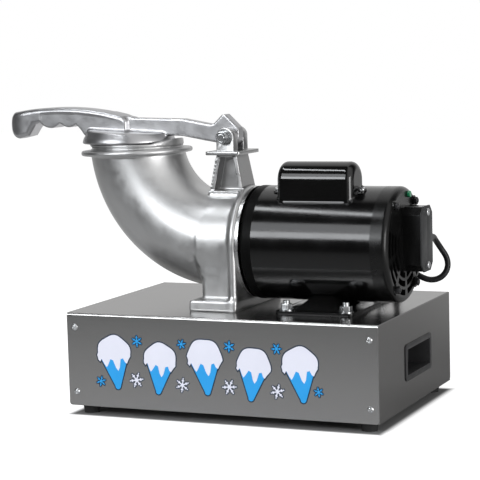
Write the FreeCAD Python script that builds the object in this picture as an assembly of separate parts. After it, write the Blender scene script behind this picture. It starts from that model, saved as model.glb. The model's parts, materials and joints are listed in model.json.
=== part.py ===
import FreeCAD, Part
import math
import os

# Countertop ice shaver: a sheet cabinet with a pull-out pan carries a cast elbow hopper, whose
# cutter chamber is driven by a capacitor-start motor, and a hinged lever that presses the ice down.
# Millimetres. +X points from the hopper to the motor, +Y to the operator's side, +Z up.
# Shapes are built about the centre of the cabinet's footprint. When they are saved, the origin moves
# to the middle of the whole part's box with the lever closed, on the plane of the feet.

V = FreeCAD.Vector
os.makedirs("parts", exist_ok=True)

# ---------------------------------------------------------------- driving dimensions
# cabinet
CAB_W, CAB_D, CAB_H = 406.4, 279.4, 116.0
SHEET = 1.5              # stainless sheet
BEND_R = 3.5             # outside radius of the folded edges
CORNER_R = 4.0           # rounded bottom corners of the front and rear faces
LIP = 14.0               # return flange under the front and rear faces
DECK_FLANGE = 20.0       # the deck's flange behind the rear panel
REAR_DROP = 1.0          # rear panel's top edge below the deck
FLANGE_W = 20.0          # side panel's flanges
FOOT_LEDGE = 44.0        # side panel's bottom flange, which carries the feet
FOOT_H, FOOT_R, FOOT_TIP_R = 12.0, 11.0, 9.5
FOOT_IN_X, FOOT_IN_Y = 19.5, 21.0
PANEL_SCREW_IN, PANEL_SCREW_DROP, PANEL_SCREW_RISE = 10.7, 18.0, 17.0
PANEL_SCREW_R, PANEL_HEAD_R, PANEL_HEAD_H, PANEL_SCREW_L = 2.4, 4.6, 2.4, 10.0
# hand grips in the side panels
GRIP_W, GRIP_H, GRIP_DEEP, GRIP_WALL = 101.5, 45.0, 30.0, 2.5
GRIP_Y, GRIP_Z = 7.5, 66.0
GRIP_RIM, GRIP_PROUD, GRIP_R = 4.0, 1.2, 6.0
# pan and its rails
PAN_W, PAN_H, PAN_T = 250.0, 60.0, 1.2
PAN_X = -27.0
PAN_GAP = 0.5
PAN_FRONT_GAP = 13.0
FACE_LAP = 9.0
RAIL_H, RAIL_T, RAIL_FOOT = 18.0, 1.5, 12.0
PULL_W, PULL_OUT, PULL_R = 96.0, 26.0, 4.0
# drive axis
AXIS_Y, AXIS_RISE = -20.0, 79.0
# hopper casting
HEAD_R, HEAD_BORE_R, ELBOW_R = 59.5, 52.0, 130.0
ELBOW_X = -29.0
MOUTH_TILT, NECK_L = 2.5, 3.7          # the mouth leans away from the motor on a short neck
COLLAR_R, COLLAR_T, COLLAR_DROP, COLLAR_TILT = 71.0, 6.0, 17.0, 1.2
DRUM_X0, DRUM_X1, DRUM_R, CHAMBER_R = -56.0, 4.0, 60.5, 54.0
BACK_FLANGE_IN, BACK_FLANGE_T = 0.5, 13.0      # inside the motor's radius
CHUTE_X0, CHUTE_X1, CHUTE_HALF, CHUTE_WALL = -49.0, -3.0, 57.0, 6.0
BASE_X0, BASE_X1, BASE_OUT, BASE_T = -58.0, 4.0, 3.0, 10.0
SPIGOT = 10.0
DECK_FIT = 0.5
HEAD_BOLT_R, HEAD_BOLT_L, HEAD_BOLT_DX = 4.0, 9.0, 22.0
HEAD_BOLT_AF, HEAD_BOLT_H = 13.0, 5.5
# lever post and clevis
PIVOT_X, PIVOT_RISE = -26.0, 17.5
POST_TOP_X, POST_TOP_Y, POST_FOOT_X, POST_FOOT_Y = 27.0, 38.0, 45.0, 42.0
POST_DROP, POST_GAP = 20.5, 0.4      # top below the bend's upright end, gap to the back flange
POST_SEAT_RISE, POST_SEAT_EDGE = 2.5, 1.0   # the flat seat above the drum's top, and past the foot
POST_FLANGE_T, POST_WEB_T = 5.5, 6.0
CLEVIS_W, CLEVIS_D, CLEVIS_T = 46.0, 64.0, 4.5
EAR_W, EAR_T, EAR_GAP = 23.0, 14.0, 0.6
PIVOT_R, PIVOT_FIT = 4.75, 0.05
PIVOT_AF, PIVOT_HEAD_H, PIVOT_NUT_H = 14.0, 6.0, 8.0
WASHER_T, PIVOT_WASHER_R, MOUNT_WASHER_R = 1.6, 10.0, 9.0
# lever: rises and reaches are measured from the pivot's axis
LEVER_T, HANDLE_T, HANDLE_ROUND = 16.0, 30.0, 5.0
TAIL_R, PEAK_RISE, PEAK_BACK = 12.5, 27.5, 5.5
ARM_RISE, ARM_SHORT, ARM_CLEAR = 22.5, 10.0, 1.6   # the arm ends short of the lid's middle
ARM_BEND_REACH, PEAK_FOOT_REACH = 64.0, 26.0
GRIP_RISE, GRIP_OUT, HANDLE_OUT = 38.0, 20.7, 113.7  # how far the handle stands past the lid
FINGER_PITCH, FINGER_DEPTH, FINGER_RISE = 23.5, 3.4, 10.5
LID_SHIFT, LID_R, LID_GAP = 11.0, 59.3, 0.5
LID_LEFT_H, LID_RIGHT_H, LID_HOLLOW, LID_RIM = 16.6, 2.7, 1.8, 9.0
# motor
MOTOR_R, SHELL_T, BELL_X0, SHELL_X0, SHELL_X1, REAR_X1 = 70.5, 2.5, 10.0, 25.0, 177.0, 198.0
BELL_WALL, SPIGOT_L, SPIGOT_T = 6.0, 6.0, 4.0
DRIVE_VENTS_IN = [(34.5, 18.5)]                # rings of slots, from the motor's radius
REAR_VENTS_IN = [(37.5, 30.5), (27.0, 20.0), (16.5, 9.5)]
HUB_R, HUB_PROUD = 28.0, 2.0
BEARING_OD_R, BEARING_ID_R, BEARING_W = 20.0, 8.5, 12.0
RUN_FIT, END_PLAY = 0.03, 0.5
SHAFT_R, THREAD_R, CORE_SHAFT_R = 7.94, 6.0, 11.0
AIR_GAP = 0.45
STATOR_X0, STATOR_X1, STATOR_BORE_R = 62.0, 137.0, 38.0
WINDING_OUT = 14.0
SLOTS, SLOT_BACK, SLOT_FILL = 18, 16.0, 0.45        # the iron left behind the slots
COIL_IN, COIL_OUT = 3.0, 4.0
TIE_R, TIE_IN, TIE_ANGLE, TIE_SINK = 2.5, 8.9, 54.25, 2.0
TIE_AF, TIE_HEAD_H, TIE_NUT_H, TIE_END = 8.0, 3.5, 4.0, 9.0
FOOT_BOLT_X, FOOT_BOLT_Y, FOOT_CX = 76.2, 123.8, 105.5
FOOT_T, FOOT_EDGE = 4.0, 11.5
SADDLE_LOW_X, SADDLE_LOW_IN, SADDLE_LOW_OUT = 30.0, 14.0, 62.0
SADDLE_HIGH_X, SADDLE_HIGH_IN, SADDLE_HIGH_OUT, SADDLE_BITE = 11.0, 16.0, 34.0, 12.0
MOUNT_BOLT_R, MOUNT_NUT_AF, MOUNT_NUT_H, MOUNT_HEAD_H, MOUNT_END = 4.0, 13.0, 6.5, 5.3, 4.0
# capacitor and its cover
CAP_Y, CAP_R, CAP_X0, CAP_X1 = -44.0, 16.0, 60.0, 140.0
COVER_X0, COVER_X1, COVER_HALF, COVER_RISE, COVER_T, COVER_EDGE = 50.5, 148.0, 23.0, 31.5, 1.5, 8.0
LUG_L, LUG_W, LUG_FIT = 10.0, 13.0, 0.4
COVER_HEAD_R, COVER_HEAD_H, COVER_SCREW_R, COVER_SCREW_L = 4.2, 2.2, 2.0, 4.0
# terminal box
TERM_Y0, TERM_Y1, TERM_Z0, TERM_Z1, TERM_D, TERM_T = -12.0, 30.0, -32.0, 46.0, 21.0, 2.5
TERM_PLATE_T, TERM_CUT = 2.0, 9.0
TERM_SCREW_DZ, TERM_BOSS_R = 32.0, 6.0
TERM_HEAD_R, TERM_HEAD_H, TERM_SCREW_R, TERM_SCREW_L = 4.4, 2.6, 2.0, 10.0
GROUND_AF, GROUND_HEAD_H, GROUND_R, GROUND_L = 7.0, 3.5, 2.0, 6.0
# motor lead
CORD_R = 3.75
GLAND_L, GLAND_R = 20.0, 5.5
GRIP_CONE_R, GRIP_CONE_H = 10.0, 8.0
# cutter
DISC_R, DISC_T, DISC_FIT = 52.6, 8.0, 1.0
KNIFE_L, KNIFE_W, KNIFE_T, KNIFE_IN = 34.0, 11.0, 2.4, 7.0
KNIFE_HEAD_R, KNIFE_HEAD_H, KNIFE_SCREW_R, KNIFE_SCREW_L = 3.4, 1.6, 2.0, 7.0
CUTTER_NUT_AF, CUTTER_NUT_H, CUTTER_HUB_R, CUTTER_HUB_L = 19.0, 12.0, 17.0, 14.0
# fan
FAN_IN, FAN_WEB_T, FAN_HUB_T = 18.5, 2.0, 6.0       # inside the motor's radius
# start switch: a spool on the shaft and a fixed plate behind it
SPOOL_R, SPOOL_L, SPOOL_BACK, SPOOL_GROOVE_R, SPOOL_GROOVE_L = 20.0, 12.0, 8.0, 15.0, 6.0
CONTACT_BACK, CONTACT_T, CONTACT_HALF, CONTACT_BORE_R = 6.0, 3.0, 14.0, 16.0
# rear panel fittings
FITTINGS_IN = 45.2       # from the cabinet's right end
SWITCH_Z, SWITCH_W, SWITCH_H, SWITCH_D, SWITCH_WALL, SWITCH_BEZEL = 84.0, 22.0, 30.0, 24.0, 3.0, 2.5
ROCKER_TILT, ROCKER_GAP = 10.0, 0.5
ROCKER_PIN_R, ROCKER_PIN_L, ROCKER_PIN_FIT = 0.9, 1.5, 0.2
INLET_Z, INLET_BORE_R, INLET_R = 40.0, 4.7, 9.0

# ---------------------------------------------------------------- derived places
DECK = FOOT_H + CAB_H
BACK_FLANGE_R = MOTOR_R - BACK_FLANGE_IN
BASE_HALF = BACK_FLANGE_R + BASE_OUT
TIE_Y = (MOTOR_R - TIE_IN) * math.cos(math.radians(TIE_ANGLE))
TIE_Z = (MOTOR_R - TIE_IN) * math.sin(math.radians(TIE_ANGLE))
SLOT_DEEP = MOTOR_R - SHELL_T - SLOT_BACK - STATOR_BORE_R
COVER_TOP = MOTOR_R + COVER_RISE
FAN_R = MOTOR_R - FAN_IN
BELL_CAVITY_R = MOTOR_R - SHELL_T - SPIGOT_T
AXIS_Z = DECK + AXIS_RISE
MOUTH_Z = AXIS_Z + ELBOW_R
MOUTH_X = ELBOW_X - ELBOW_R
LEAN = math.radians(MOUTH_TILT)
RIM_Z = MOUTH_Z + NECK_L * math.cos(LEAN) - (ELBOW_R - HEAD_R) * math.sin(LEAN)   # the rim's motor side
POST_TOP_Z = MOUTH_Z - POST_DROP
POST_SEAT_Z = AXIS_Z + DRUM_R + POST_SEAT_RISE
CLEVIS_TOP = POST_TOP_Z + CLEVIS_T
PIVOT_Z = CLEVIS_TOP + PIVOT_RISE
LID_X = MOUTH_X - LID_SHIFT
LID_NEAR, LID_FAR = PIVOT_X - LID_X - LID_R, PIVOT_X - LID_X + LID_R   # the lid's edges, from the pivot
ARM_REACH = PIVOT_X - LID_X - ARM_SHORT
GRIP_REACH, TIP_REACH = LID_FAR + GRIP_OUT, LID_FAR + HANDLE_OUT
FRONT, REAR = -CAB_D / 2, CAB_D / 2
SWITCH_X = INLET_X = CAB_W / 2 - FITTINGS_IN
FAR = 500.0              # past every piece
X, Y, Z = V(1, 0, 0), V(0, 1, 0), V(0, 0, 1)


# ---------------------------------------------------------------- shape helpers
PIECES = {}


def save(name, shape):
    PIECES[name] = shape


def group(shapes):
    return Part.makeCompound(shapes)


def box(x0, x1, y0, y1, z0, z1):
    return Part.makeBox(x1 - x0, y1 - y0, z1 - z0, V(x0, y0, z0))


def rod(x, y, z, axis, r, length):
    return Part.makeCylinder(r, length, V(x, y, z), axis)


def on_axis(x0, x1, r):
    """A cylinder about the drive axis, from x0 to x1."""
    return rod(x0, AXIS_Y, AXIS_Z, X, r, x1 - x0)


def ring(x0, x1, outer, inner):
    return on_axis(x0, x1, outer).cut(on_axis(x0 - 1, x1 + 1, inner))


def prism(points, depth):
    """A closed outline of vectors, pushed along a vector."""
    return Part.Face(Part.makePolygon(points + [points[0]])).extrude(depth)


def hexagon(x, y, z, axis, across, height):
    """A hexagonal prism standing on a point, along an axis."""
    r = across / math.sqrt(3)
    points = [V(r * math.cos(math.radians(60 * i)), r * math.sin(math.radians(60 * i)), 0) for i in range(6)]
    return seat(prism(points, V(0, 0, height)), x, y, z, axis)


def seat(shape, x, y, z, axis):
    """Stand a shape built along +Z at the origin on a point, along an axis."""
    shape.Placement = FreeCAD.Placement(V(x, y, z), FreeCAD.Rotation(Z, axis))
    return shape


def rounded(shape, radius, wanted):
    """Round the edges that a test on the edge picks."""
    return shape.makeFillet(radius, [e for e in shape.Edges if wanted(e)])


def runs_along(edge, axis):
    a, b = edge.Vertexes[0].Point, edge.Vertexes[-1].Point
    d = b - a
    return d.Length > 1e-6 and abs(abs(d.normalize().dot(axis)) - 1) < 1e-6


def screw(x, y, z, axis, head_r, head_h, shank_r, shank_l):
    """A pan-head screw: its head rises along the axis from the point, its shank goes the other way."""
    head = Part.makeCylinder(head_r, head_h)
    head = rounded(head, head_h * 0.45, lambda e: abs(e.CenterOfMass.z - head_h) < 1e-6)
    for turn in (0, 90):
        slot = Part.makeBox(head_r * 1.1, head_h * 0.4, head_h,
                            V(-head_r * 0.55, -head_h * 0.2, head_h * 0.5))
        slot.rotate(V(0, 0, 0), Z, turn)
        head = head.cut(slot)
    shank = Part.makeCylinder(shank_r, shank_l + head_h * 0.3, V(0, 0, -shank_l))
    return seat(head.fuse(shank).removeSplitter(), x, y, z, axis)


def hex_bolt(x, y, z, axis, across, head_h, shank_r, shank_l):
    """A hexagon-head bolt: head along the axis from the point, shank the other way."""
    head = hexagon(0, 0, 0, Z, across, head_h)
    return seat(head.fuse(Part.makeCylinder(shank_r, shank_l, V(0, 0, -shank_l))), x, y, z, axis)


def corners(dx, dy):
    return [(sx * dx, sy * dy) for sx in (-1, 1) for sy in (-1, 1)]


# ---------------------------------------------------------------- cabinet
PAN_X0, PAN_X1 = PAN_X - PAN_W / 2, PAN_X + PAN_W / 2
PAN_Z0 = FOOT_H + SHEET + RAIL_T + PAN_GAP
PAN_Z1 = PAN_Z0 + PAN_H
MOUTH_LOW = PAN_Z0 - PAN_GAP
FOOT_PLACES = corners(CAB_W / 2 - FOOT_IN_X, CAB_D / 2 - FOOT_IN_Y)
SCREW_PLACES = [(sx * (CAB_W / 2 - PANEL_SCREW_IN), z)
                for sx in (-1, 1) for z in (DECK - PANEL_SCREW_DROP, FOOT_H + PANEL_SCREW_RISE)]
MOUNT_PLACES = [(FOOT_CX + dx, AXIS_Y + dy) for dx, dy in corners(FOOT_BOLT_X / 2, FOOT_BOLT_Y / 2)]
HEAD_MID_X = (BASE_X0 + BASE_X1) / 2
HEAD_BOLT_DY = (BASE_HALF + CHUTE_HALF) / 2
HEAD_BOLT_PLACES = [(HEAD_MID_X + dx, AXIS_Y + dy) for dx, dy in corners(HEAD_BOLT_DX, HEAD_BOLT_DY)]

# The motor lead leaves the terminal box, loops down and back, and enters a grip on the deck.
TERM_X0 = REAR_X1 + HUB_PROUD
TERM_X1 = TERM_X0 + TERM_D
LEAD_EXIT = (TERM_X0 + 14.5, AXIS_Y + TERM_Y1 + GLAND_L, AXIS_Z + 4.0)
LEAD_END = (156.0, 67.0, DECK + GRIP_CONE_H)
LEAD_ROUTE = [LEAD_EXIT, (214.5, 39.9, 211.0), (212.5, 53.2, 205.4), (216.3, 63.6, 193.7),
              (224.4, 65.7, 180.9), (225.5, 63.5, 167.3), (218.2, 58.7, 156.6), (205.6, 53.7, 153.7), (192.4, 50.3, 159.1),
              (179.5, 55.6, 166.7), (165.2, 62.3, 164.1), (156.0, 67.0, 151.9), LEAD_END]


def face_trim():
    """The outline of the front and rear faces, with rounded bottom corners."""
    half = CAB_W / 2
    trim = box(-half, half, FRONT - 1, REAR + 1, FOOT_H, DECK + 1)
    return rounded(trim, CORNER_R, lambda e: runs_along(e, Y) and e.CenterOfMass.z < FOOT_H + 1)


def lip(y0, y1):
    """A return flange under a face, between the side panels' ledges."""
    half = CAB_W / 2 - SHEET - FOOT_LEDGE
    return box(-half, half, y0, y1, FOOT_H, FOOT_H + SHEET)


def face_screw_holes(y):
    return [rod(x, y - 5, z, Y, PANEL_SCREW_R, 10) for x, z in SCREW_PLACES]


def base_wrap():
    """Front and deck folded from one sheet, with a lip below and a flange behind, and the deck's holes."""
    half, back = CAB_W / 2, REAR - SHEET
    outer = box(-half, half, FRONT, back, FOOT_H, DECK)
    outer = rounded(outer, BEND_R, lambda e: runs_along(e, X) and e.CenterOfMass.z > DECK - 1)
    hollow = box(-half - 1, half + 1, FRONT + SHEET, back - SHEET, FOOT_H - 1, DECK - SHEET)
    hollow = rounded(hollow, BEND_R - SHEET,
                     lambda e: runs_along(e, X) and e.CenterOfMass.z > DECK - SHEET - 1)
    wrap = outer.cut(hollow).common(face_trim()).fuse(lip(FRONT, FRONT + LIP))
    wrap = wrap.cut(box(-FAR, FAR, back - BEND_R, back + 1, 0, DECK - DECK_FLANGE))
    notch_x = half - SHEET - FLANGE_W - DECK_FIT
    cuts = [box(min(side * notch_x, side * FAR), max(side * notch_x, side * FAR), back - BEND_R, back + 1,
                0, DECK - SHEET) for side in (-1, 1)]
    cuts += [box(CHUTE_X0 - DECK_FIT, CHUTE_X1 + DECK_FIT, AXIS_Y - CHUTE_HALF - DECK_FIT,
                 AXIS_Y + CHUTE_HALF + DECK_FIT, DECK - SHEET - 1, DECK + 1)]
    cuts += [rod(x, y, DECK - 5, Z, HEAD_BOLT_R + DECK_FIT / 2, 10) for x, y in HEAD_BOLT_PLACES]
    cuts += [rod(x, y, DECK - 5, Z, MOUNT_BOLT_R, 10) for x, y in MOUNT_PLACES]
    cuts += [rod(LEAD_END[0], LEAD_END[1], DECK - 5, Z, GLAND_R, 10)]
    cuts += face_screw_holes(FRONT)
    for tool in cuts:
        wrap = wrap.cut(tool)
    return wrap.removeSplitter()


def rear_panel():
    """The rear face with its lip, the pan's mouth and the holes for the switch and the mains gland."""
    half = CAB_W / 2
    panel = box(-half, half, REAR - SHEET, REAR, FOOT_H, DECK - REAR_DROP).common(face_trim())
    panel = panel.fuse(lip(REAR - LIP, REAR))
    cuts = [box(PAN_X0 - PAN_GAP, PAN_X1 + PAN_GAP, REAR - LIP - 1, REAR + 1, MOUTH_LOW, PAN_Z1 + PAN_GAP)]
    cuts += [box(SWITCH_X - SWITCH_W / 2, SWITCH_X + SWITCH_W / 2, REAR - 5, REAR + 5,
                 SWITCH_Z - SWITCH_H / 2, SWITCH_Z + SWITCH_H / 2)]
    cuts += [rod(INLET_X, REAR - 5, INLET_Z, Y, INLET_R - 2, 10)]
    cuts += face_screw_holes(REAR)
    for tool in cuts:
        panel = panel.cut(tool)
    return panel.removeSplitter()


def side_panel(side):
    """A flanged side panel inside the wrap's ends, with the hand grip's window."""
    out, inn = side * CAB_W / 2, side * (CAB_W / 2 - SHEET)
    y0, y1, z0, z1 = FRONT + SHEET, REAR - SHEET, FOOT_H, DECK - SHEET
    ledge, flange = side * (CAB_W / 2 - SHEET - FOOT_LEDGE), side * (CAB_W / 2 - SHEET - FLANGE_W)

    def strip(xa, xb, ya, yb, za, zb):
        return box(min(xa, xb), max(xa, xb), ya, yb, za, zb)

    edge = max(BEND_R - SHEET, 0.1)
    plate = strip(out, inn, y0, y1, z0, z1)
    panel = plate.fuse(strip(out, ledge, y0, y1, z0, z0 + SHEET))
    panel = panel.fuse(strip(out, flange, y0, y0 + SHEET, z0, z1))
    panel = panel.fuse(strip(out, flange, y1 - SHEET, y1, z0, z1))
    panel = panel.fuse(strip(out, flange, y0, y1, z1 - SHEET, z1)).removeSplitter()
    panel = rounded(panel, edge, lambda e: runs_along(e, X) and e.CenterOfMass.z > z1 - 0.1
                    and min(abs(e.CenterOfMass.y - y0), abs(e.CenterOfMass.y - y1)) < 0.1)
    window_w, window_h = GRIP_W - 2 * GRIP_RIM, GRIP_H - 2 * GRIP_RIM
    cuts = [strip(out + side, ledge, GRIP_Y - window_w / 2, GRIP_Y + window_w / 2,
                  GRIP_Z - window_h / 2, GRIP_Z + window_h / 2)]
    for x, z in SCREW_PLACES:
        cuts += [rod(x, y - 5, z, Y, PANEL_SCREW_R, 10) for y in (FRONT, REAR)]
    cuts += [rod(x, y, z0 - 1, Z, PANEL_SCREW_R, 5) for x, y in FOOT_PLACES]
    for tool in cuts:
        panel = panel.cut(tool)
    return panel


def panel_screws():
    return group([screw(x, y, z, axis, PANEL_HEAD_R, PANEL_HEAD_H, PANEL_SCREW_R, PANEL_SCREW_L)
                  for x, z in SCREW_PLACES for y, axis in ((FRONT, V(0, -1, 0)), (REAR, Y))])


def foot(x, y):
    cone = Part.makeCone(FOOT_TIP_R, FOOT_R, FOOT_H, V(x, y, 0))
    recess = rod(x, y, -1, Z, PANEL_HEAD_R + 0.6, 1 + PANEL_HEAD_H + 2)
    return cone.cut(recess).cut(rod(x, y, 0, Z, PANEL_SCREW_R, FOOT_H + 1))


def foot_screws():
    seat_z = PANEL_HEAD_H + 2
    return group([screw(x, y, seat_z, V(0, 0, -1), PANEL_HEAD_R, PANEL_HEAD_H, PANEL_SCREW_R,
                        FOOT_H - seat_z + SHEET + 4) for x, y in FOOT_PLACES])


def hand_grip(side):
    """A moulded cup with a rim outside the panel."""
    face = side * CAB_W / 2

    def block(x_out, x_in, grow):
        w, h = GRIP_W / 2 + grow, GRIP_H / 2 + grow
        xa, xb = side * x_out + face, side * x_in + face
        shape = box(min(xa, xb), max(xa, xb), GRIP_Y - w, GRIP_Y + w, GRIP_Z - h, GRIP_Z + h)
        return rounded(shape, max(GRIP_R + grow, 0.5), lambda e: runs_along(e, X))

    rim = block(GRIP_PROUD, 0, 0)
    cup = block(0, -GRIP_DEEP, -GRIP_RIM - 0.2)
    hollow = block(GRIP_PROUD + 1, GRIP_WALL - GRIP_DEEP, -GRIP_RIM - 0.2 - GRIP_WALL)
    return rim.fuse(cup).cut(hollow).removeSplitter()


def pan_rails():
    """Two angles on the return flanges that guide the pan's sides."""
    z0 = FOOT_H + SHEET
    y0, y1 = FRONT + SHEET, REAR - SHEET
    rails = []
    for side in (-1, 1):
        x0 = PAN_X + side * (PAN_W / 2 + PAN_GAP)
        foot_x = (x0 - side * RAIL_FOOT, x0 + side * RAIL_T)
        wall_x = (x0, x0 + side * RAIL_T)
        leg = box(min(foot_x), max(foot_x), y0, y1, z0, z0 + RAIL_T)
        rails.append(leg.fuse(box(min(wall_x), max(wall_x), y0, y1, z0, z0 + RAIL_H)).removeSplitter())
    return group(rails)


def ice_pan():
    """The pan and the face that closes the cabinet's mouth."""
    y0, y1 = FRONT + SHEET + PAN_FRONT_GAP, REAR + PAN_GAP
    body = box(PAN_X0, PAN_X1, y0, y1, PAN_Z0, PAN_Z1)
    body = rounded(body, 8, lambda e: runs_along(e, Z) and e.CenterOfMass.y < 0)
    hollow = box(PAN_X0 + PAN_T, PAN_X1 - PAN_T, y0 + PAN_T, y1, PAN_Z0 + PAN_T, PAN_Z1 + 1)
    hollow = rounded(hollow, 8 - PAN_T, lambda e: runs_along(e, Z) and e.CenterOfMass.y < 0)
    face = box(PAN_X0 - FACE_LAP, PAN_X1 + FACE_LAP, y1, y1 + SHEET, MOUTH_LOW, PAN_Z1 + FACE_LAP)
    face = rounded(face, CORNER_R, lambda e: runs_along(e, Y))
    return body.cut(hollow).fuse(face).removeSplitter()


def pan_pull():
    """A bent bar handle on the pan's face."""
    y0 = REAR + PAN_GAP + SHEET
    z = (PAN_Z0 + PAN_Z1) / 2
    half = PULL_W / 2
    bar = rod(PAN_X - half, y0 + PULL_OUT, z, X, PULL_R, PULL_W)
    for sx in (-1, 1):
        bar = bar.fuse(rod(PAN_X + sx * half, y0, z, Y, PULL_R, PULL_OUT))
        bar = bar.fuse(Part.makeSphere(PULL_R, V(PAN_X + sx * half, y0 + PULL_OUT, z)))
    return bar.removeSplitter()


# ---------------------------------------------------------------- hopper casting
def leaned(shape, angle=MOUTH_TILT):
    """Lean a shape built over an upright neck, about the bend's centre."""
    shape.rotate(V(ELBOW_X, AXIS_Y, MOUTH_Z), Y, -angle)
    return shape


def elbow(r, extra):
    """A bend from the drive axis up to the leaning mouth, with its short neck."""
    mouth = leaned(Part.Face(Part.Wire(Part.Circle(V(MOUTH_X, AXIS_Y, MOUTH_Z), Z, r).toShape())))
    neck = leaned(Part.makeCylinder(r, NECK_L + extra, V(MOUTH_X, AXIS_Y, MOUTH_Z)))
    return mouth.revolve(V(ELBOW_X, AXIS_Y, MOUTH_Z), V(0, -1, 0), 90 - MOUTH_TILT).fuse(neck)


def head_casting():
    """Elbow hopper, collar, cutter chamber, discharge chute, back flange and base flange."""
    body = elbow(HEAD_R, 0)
    collar_z = MOUTH_Z - COLLAR_DROP
    collar = Part.makeCylinder(COLLAR_R, COLLAR_T, V(MOUTH_X, AXIS_Y, collar_z - COLLAR_T / 2))
    collar = rounded(collar, COLLAR_T * 0.35, lambda e: e.Length > 2 * COLLAR_R)
    collar.rotate(V(MOUTH_X, AXIS_Y, collar_z), Y, -COLLAR_TILT)
    flange_x0 = DRUM_X1 - BACK_FLANGE_T
    seat_x, seat_y = POST_FOOT_X / 2 + POST_SEAT_EDGE, POST_FOOT_Y / 2 + POST_SEAT_EDGE
    solids = [collar,
              on_axis(DRUM_X0, DRUM_X1, DRUM_R),
              on_axis(flange_x0, DRUM_X1, BACK_FLANGE_R),
              box(flange_x0, DRUM_X1, AXIS_Y - BACK_FLANGE_R, AXIS_Y + BACK_FLANGE_R, DECK, AXIS_Z),
              box(CHUTE_X0, CHUTE_X1, AXIS_Y - CHUTE_HALF, AXIS_Y + CHUTE_HALF, DECK - SPIGOT, AXIS_Z),
              box(BASE_X0, BASE_X1, AXIS_Y - BASE_HALF, AXIS_Y + BASE_HALF, DECK, DECK + BASE_T),
              box(PIVOT_X - seat_x, PIVOT_X + seat_x, AXIS_Y - seat_y, AXIS_Y + seat_y,
                  AXIS_Z + CHAMBER_R, POST_SEAT_Z)]
    for solid in solids:
        body = body.fuse(solid)
    inner_half = CHUTE_HALF - CHUTE_WALL
    chute = box(CHUTE_X0 + CHUTE_WALL, CHUTE_X1 - CHUTE_WALL, AXIS_Y - inner_half, AXIS_Y + inner_half,
                DECK - SPIGOT - 1, AXIS_Z)
    chamber_x0 = DRUM_X0 + CHUTE_WALL
    throat = elbow(HEAD_BORE_R, 5).cut(box(chamber_x0, FAR, -FAR, FAR, 0, MOUTH_Z))
    cuts = [chute, on_axis(chamber_x0, DRUM_X1 + 1, CHAMBER_R), throat]
    cuts += [rod(x, y, DECK - 1, Z, HEAD_BOLT_R, HEAD_BOLT_L) for x, y in HEAD_BOLT_PLACES]
    for tool in cuts:
        body = body.cut(tool)
    return body.removeSplitter()


def head_bolts():
    return group([hex_bolt(x, y, DECK - SHEET, V(0, 0, -1), HEAD_BOLT_AF, HEAD_BOLT_H,
                           HEAD_BOLT_R, HEAD_BOLT_L) for x, y in HEAD_BOLT_PLACES])


def lever_post():
    """A tapered H-section post on the drum's flat seat."""
    foot_z = POST_SEAT_Z

    def level(width, depth, z):
        points = [V(PIVOT_X + sx * width / 2, AXIS_Y + sy * depth / 2, z)
                  for sx, sy in ((-1, -1), (1, -1), (1, 1), (-1, 1))]
        return Part.makePolygon(points + [points[0]])

    post = Part.makeLoft([level(POST_FOOT_X, POST_FOOT_Y, foot_z), level(POST_TOP_X, POST_TOP_Y, POST_TOP_Z)],
                         True, True)
    for side in (-1, 1):
        y_web = AXIS_Y + side * POST_WEB_T / 2
        low = POST_FOOT_X / 2 - POST_FLANGE_T
        high = POST_TOP_X / 2 - POST_FLANGE_T
        recess = prism([V(PIVOT_X - low, y_web, foot_z - 1), V(PIVOT_X + low, y_web, foot_z - 1),
                        V(PIVOT_X + high, y_web, POST_TOP_Z - 3), V(PIVOT_X - high, y_web, POST_TOP_Z - 3)],
                       V(0, side * POST_FOOT_Y, 0))
        post = post.cut(recess)
    return post.cut(on_axis(DRUM_X1 - BACK_FLANGE_T - POST_GAP, DRUM_X1 + POST_GAP, BACK_FLANGE_R + POST_GAP))


EAR_IN = LEVER_T / 2 + EAR_GAP
EAR_OUT = EAR_IN + EAR_T


def lever_clevis():
    """The plate on the post, with its two ears."""
    plate = box(PIVOT_X - CLEVIS_W / 2, PIVOT_X + CLEVIS_W / 2, AXIS_Y - CLEVIS_D / 2, AXIS_Y + CLEVIS_D / 2,
                POST_TOP_Z, CLEVIS_TOP)
    clevis = rounded(plate, 3, lambda e: runs_along(e, Z))
    for y in (AXIS_Y - EAR_OUT, AXIS_Y + EAR_IN):
        ear = box(PIVOT_X - EAR_W / 2, PIVOT_X + EAR_W / 2, y, y + EAR_T, CLEVIS_TOP - 1, PIVOT_Z)
        ear = ear.fuse(rod(PIVOT_X, y, PIVOT_Z, Y, EAR_W / 2, EAR_T))
        clevis = clevis.fuse(ear)
    bore = rod(PIVOT_X, AXIS_Y - EAR_OUT - 1, PIVOT_Z, Y, PIVOT_R, 2 * EAR_OUT + 2)
    return clevis.cut(bore).removeSplitter()


def pivot_bolt():
    length = 2 * EAR_OUT + 2 * WASHER_T + PIVOT_NUT_H + 3
    return hex_bolt(PIVOT_X, AXIS_Y + EAR_OUT + WASHER_T, PIVOT_Z, Y, PIVOT_AF, PIVOT_HEAD_H, PIVOT_R, length)


def pivot_nut():
    y = AXIS_Y - EAR_OUT - WASHER_T
    nut = hexagon(PIVOT_X, y, PIVOT_Z, V(0, -1, 0), PIVOT_AF, PIVOT_NUT_H)
    return nut.cut(rod(PIVOT_X, y + 1, PIVOT_Z, V(0, -1, 0), PIVOT_R, PIVOT_NUT_H + 4))


def pivot_washers():
    washers = []
    for y in (AXIS_Y - EAR_OUT - WASHER_T, AXIS_Y + EAR_OUT):
        washer = rod(PIVOT_X, y, PIVOT_Z, Y, PIVOT_WASHER_R, WASHER_T)
        washers.append(washer.cut(rod(PIVOT_X, y - 1, PIVOT_Z, Y, PIVOT_R, WASHER_T + 2)))
    return group(washers)


# ---------------------------------------------------------------- lever with its lid
def at(back, rise):
    """A point of the lever's outline: how far back toward the handle, how far above the pivot."""
    return V(PIVOT_X - back, 0, PIVOT_Z + rise)


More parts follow.
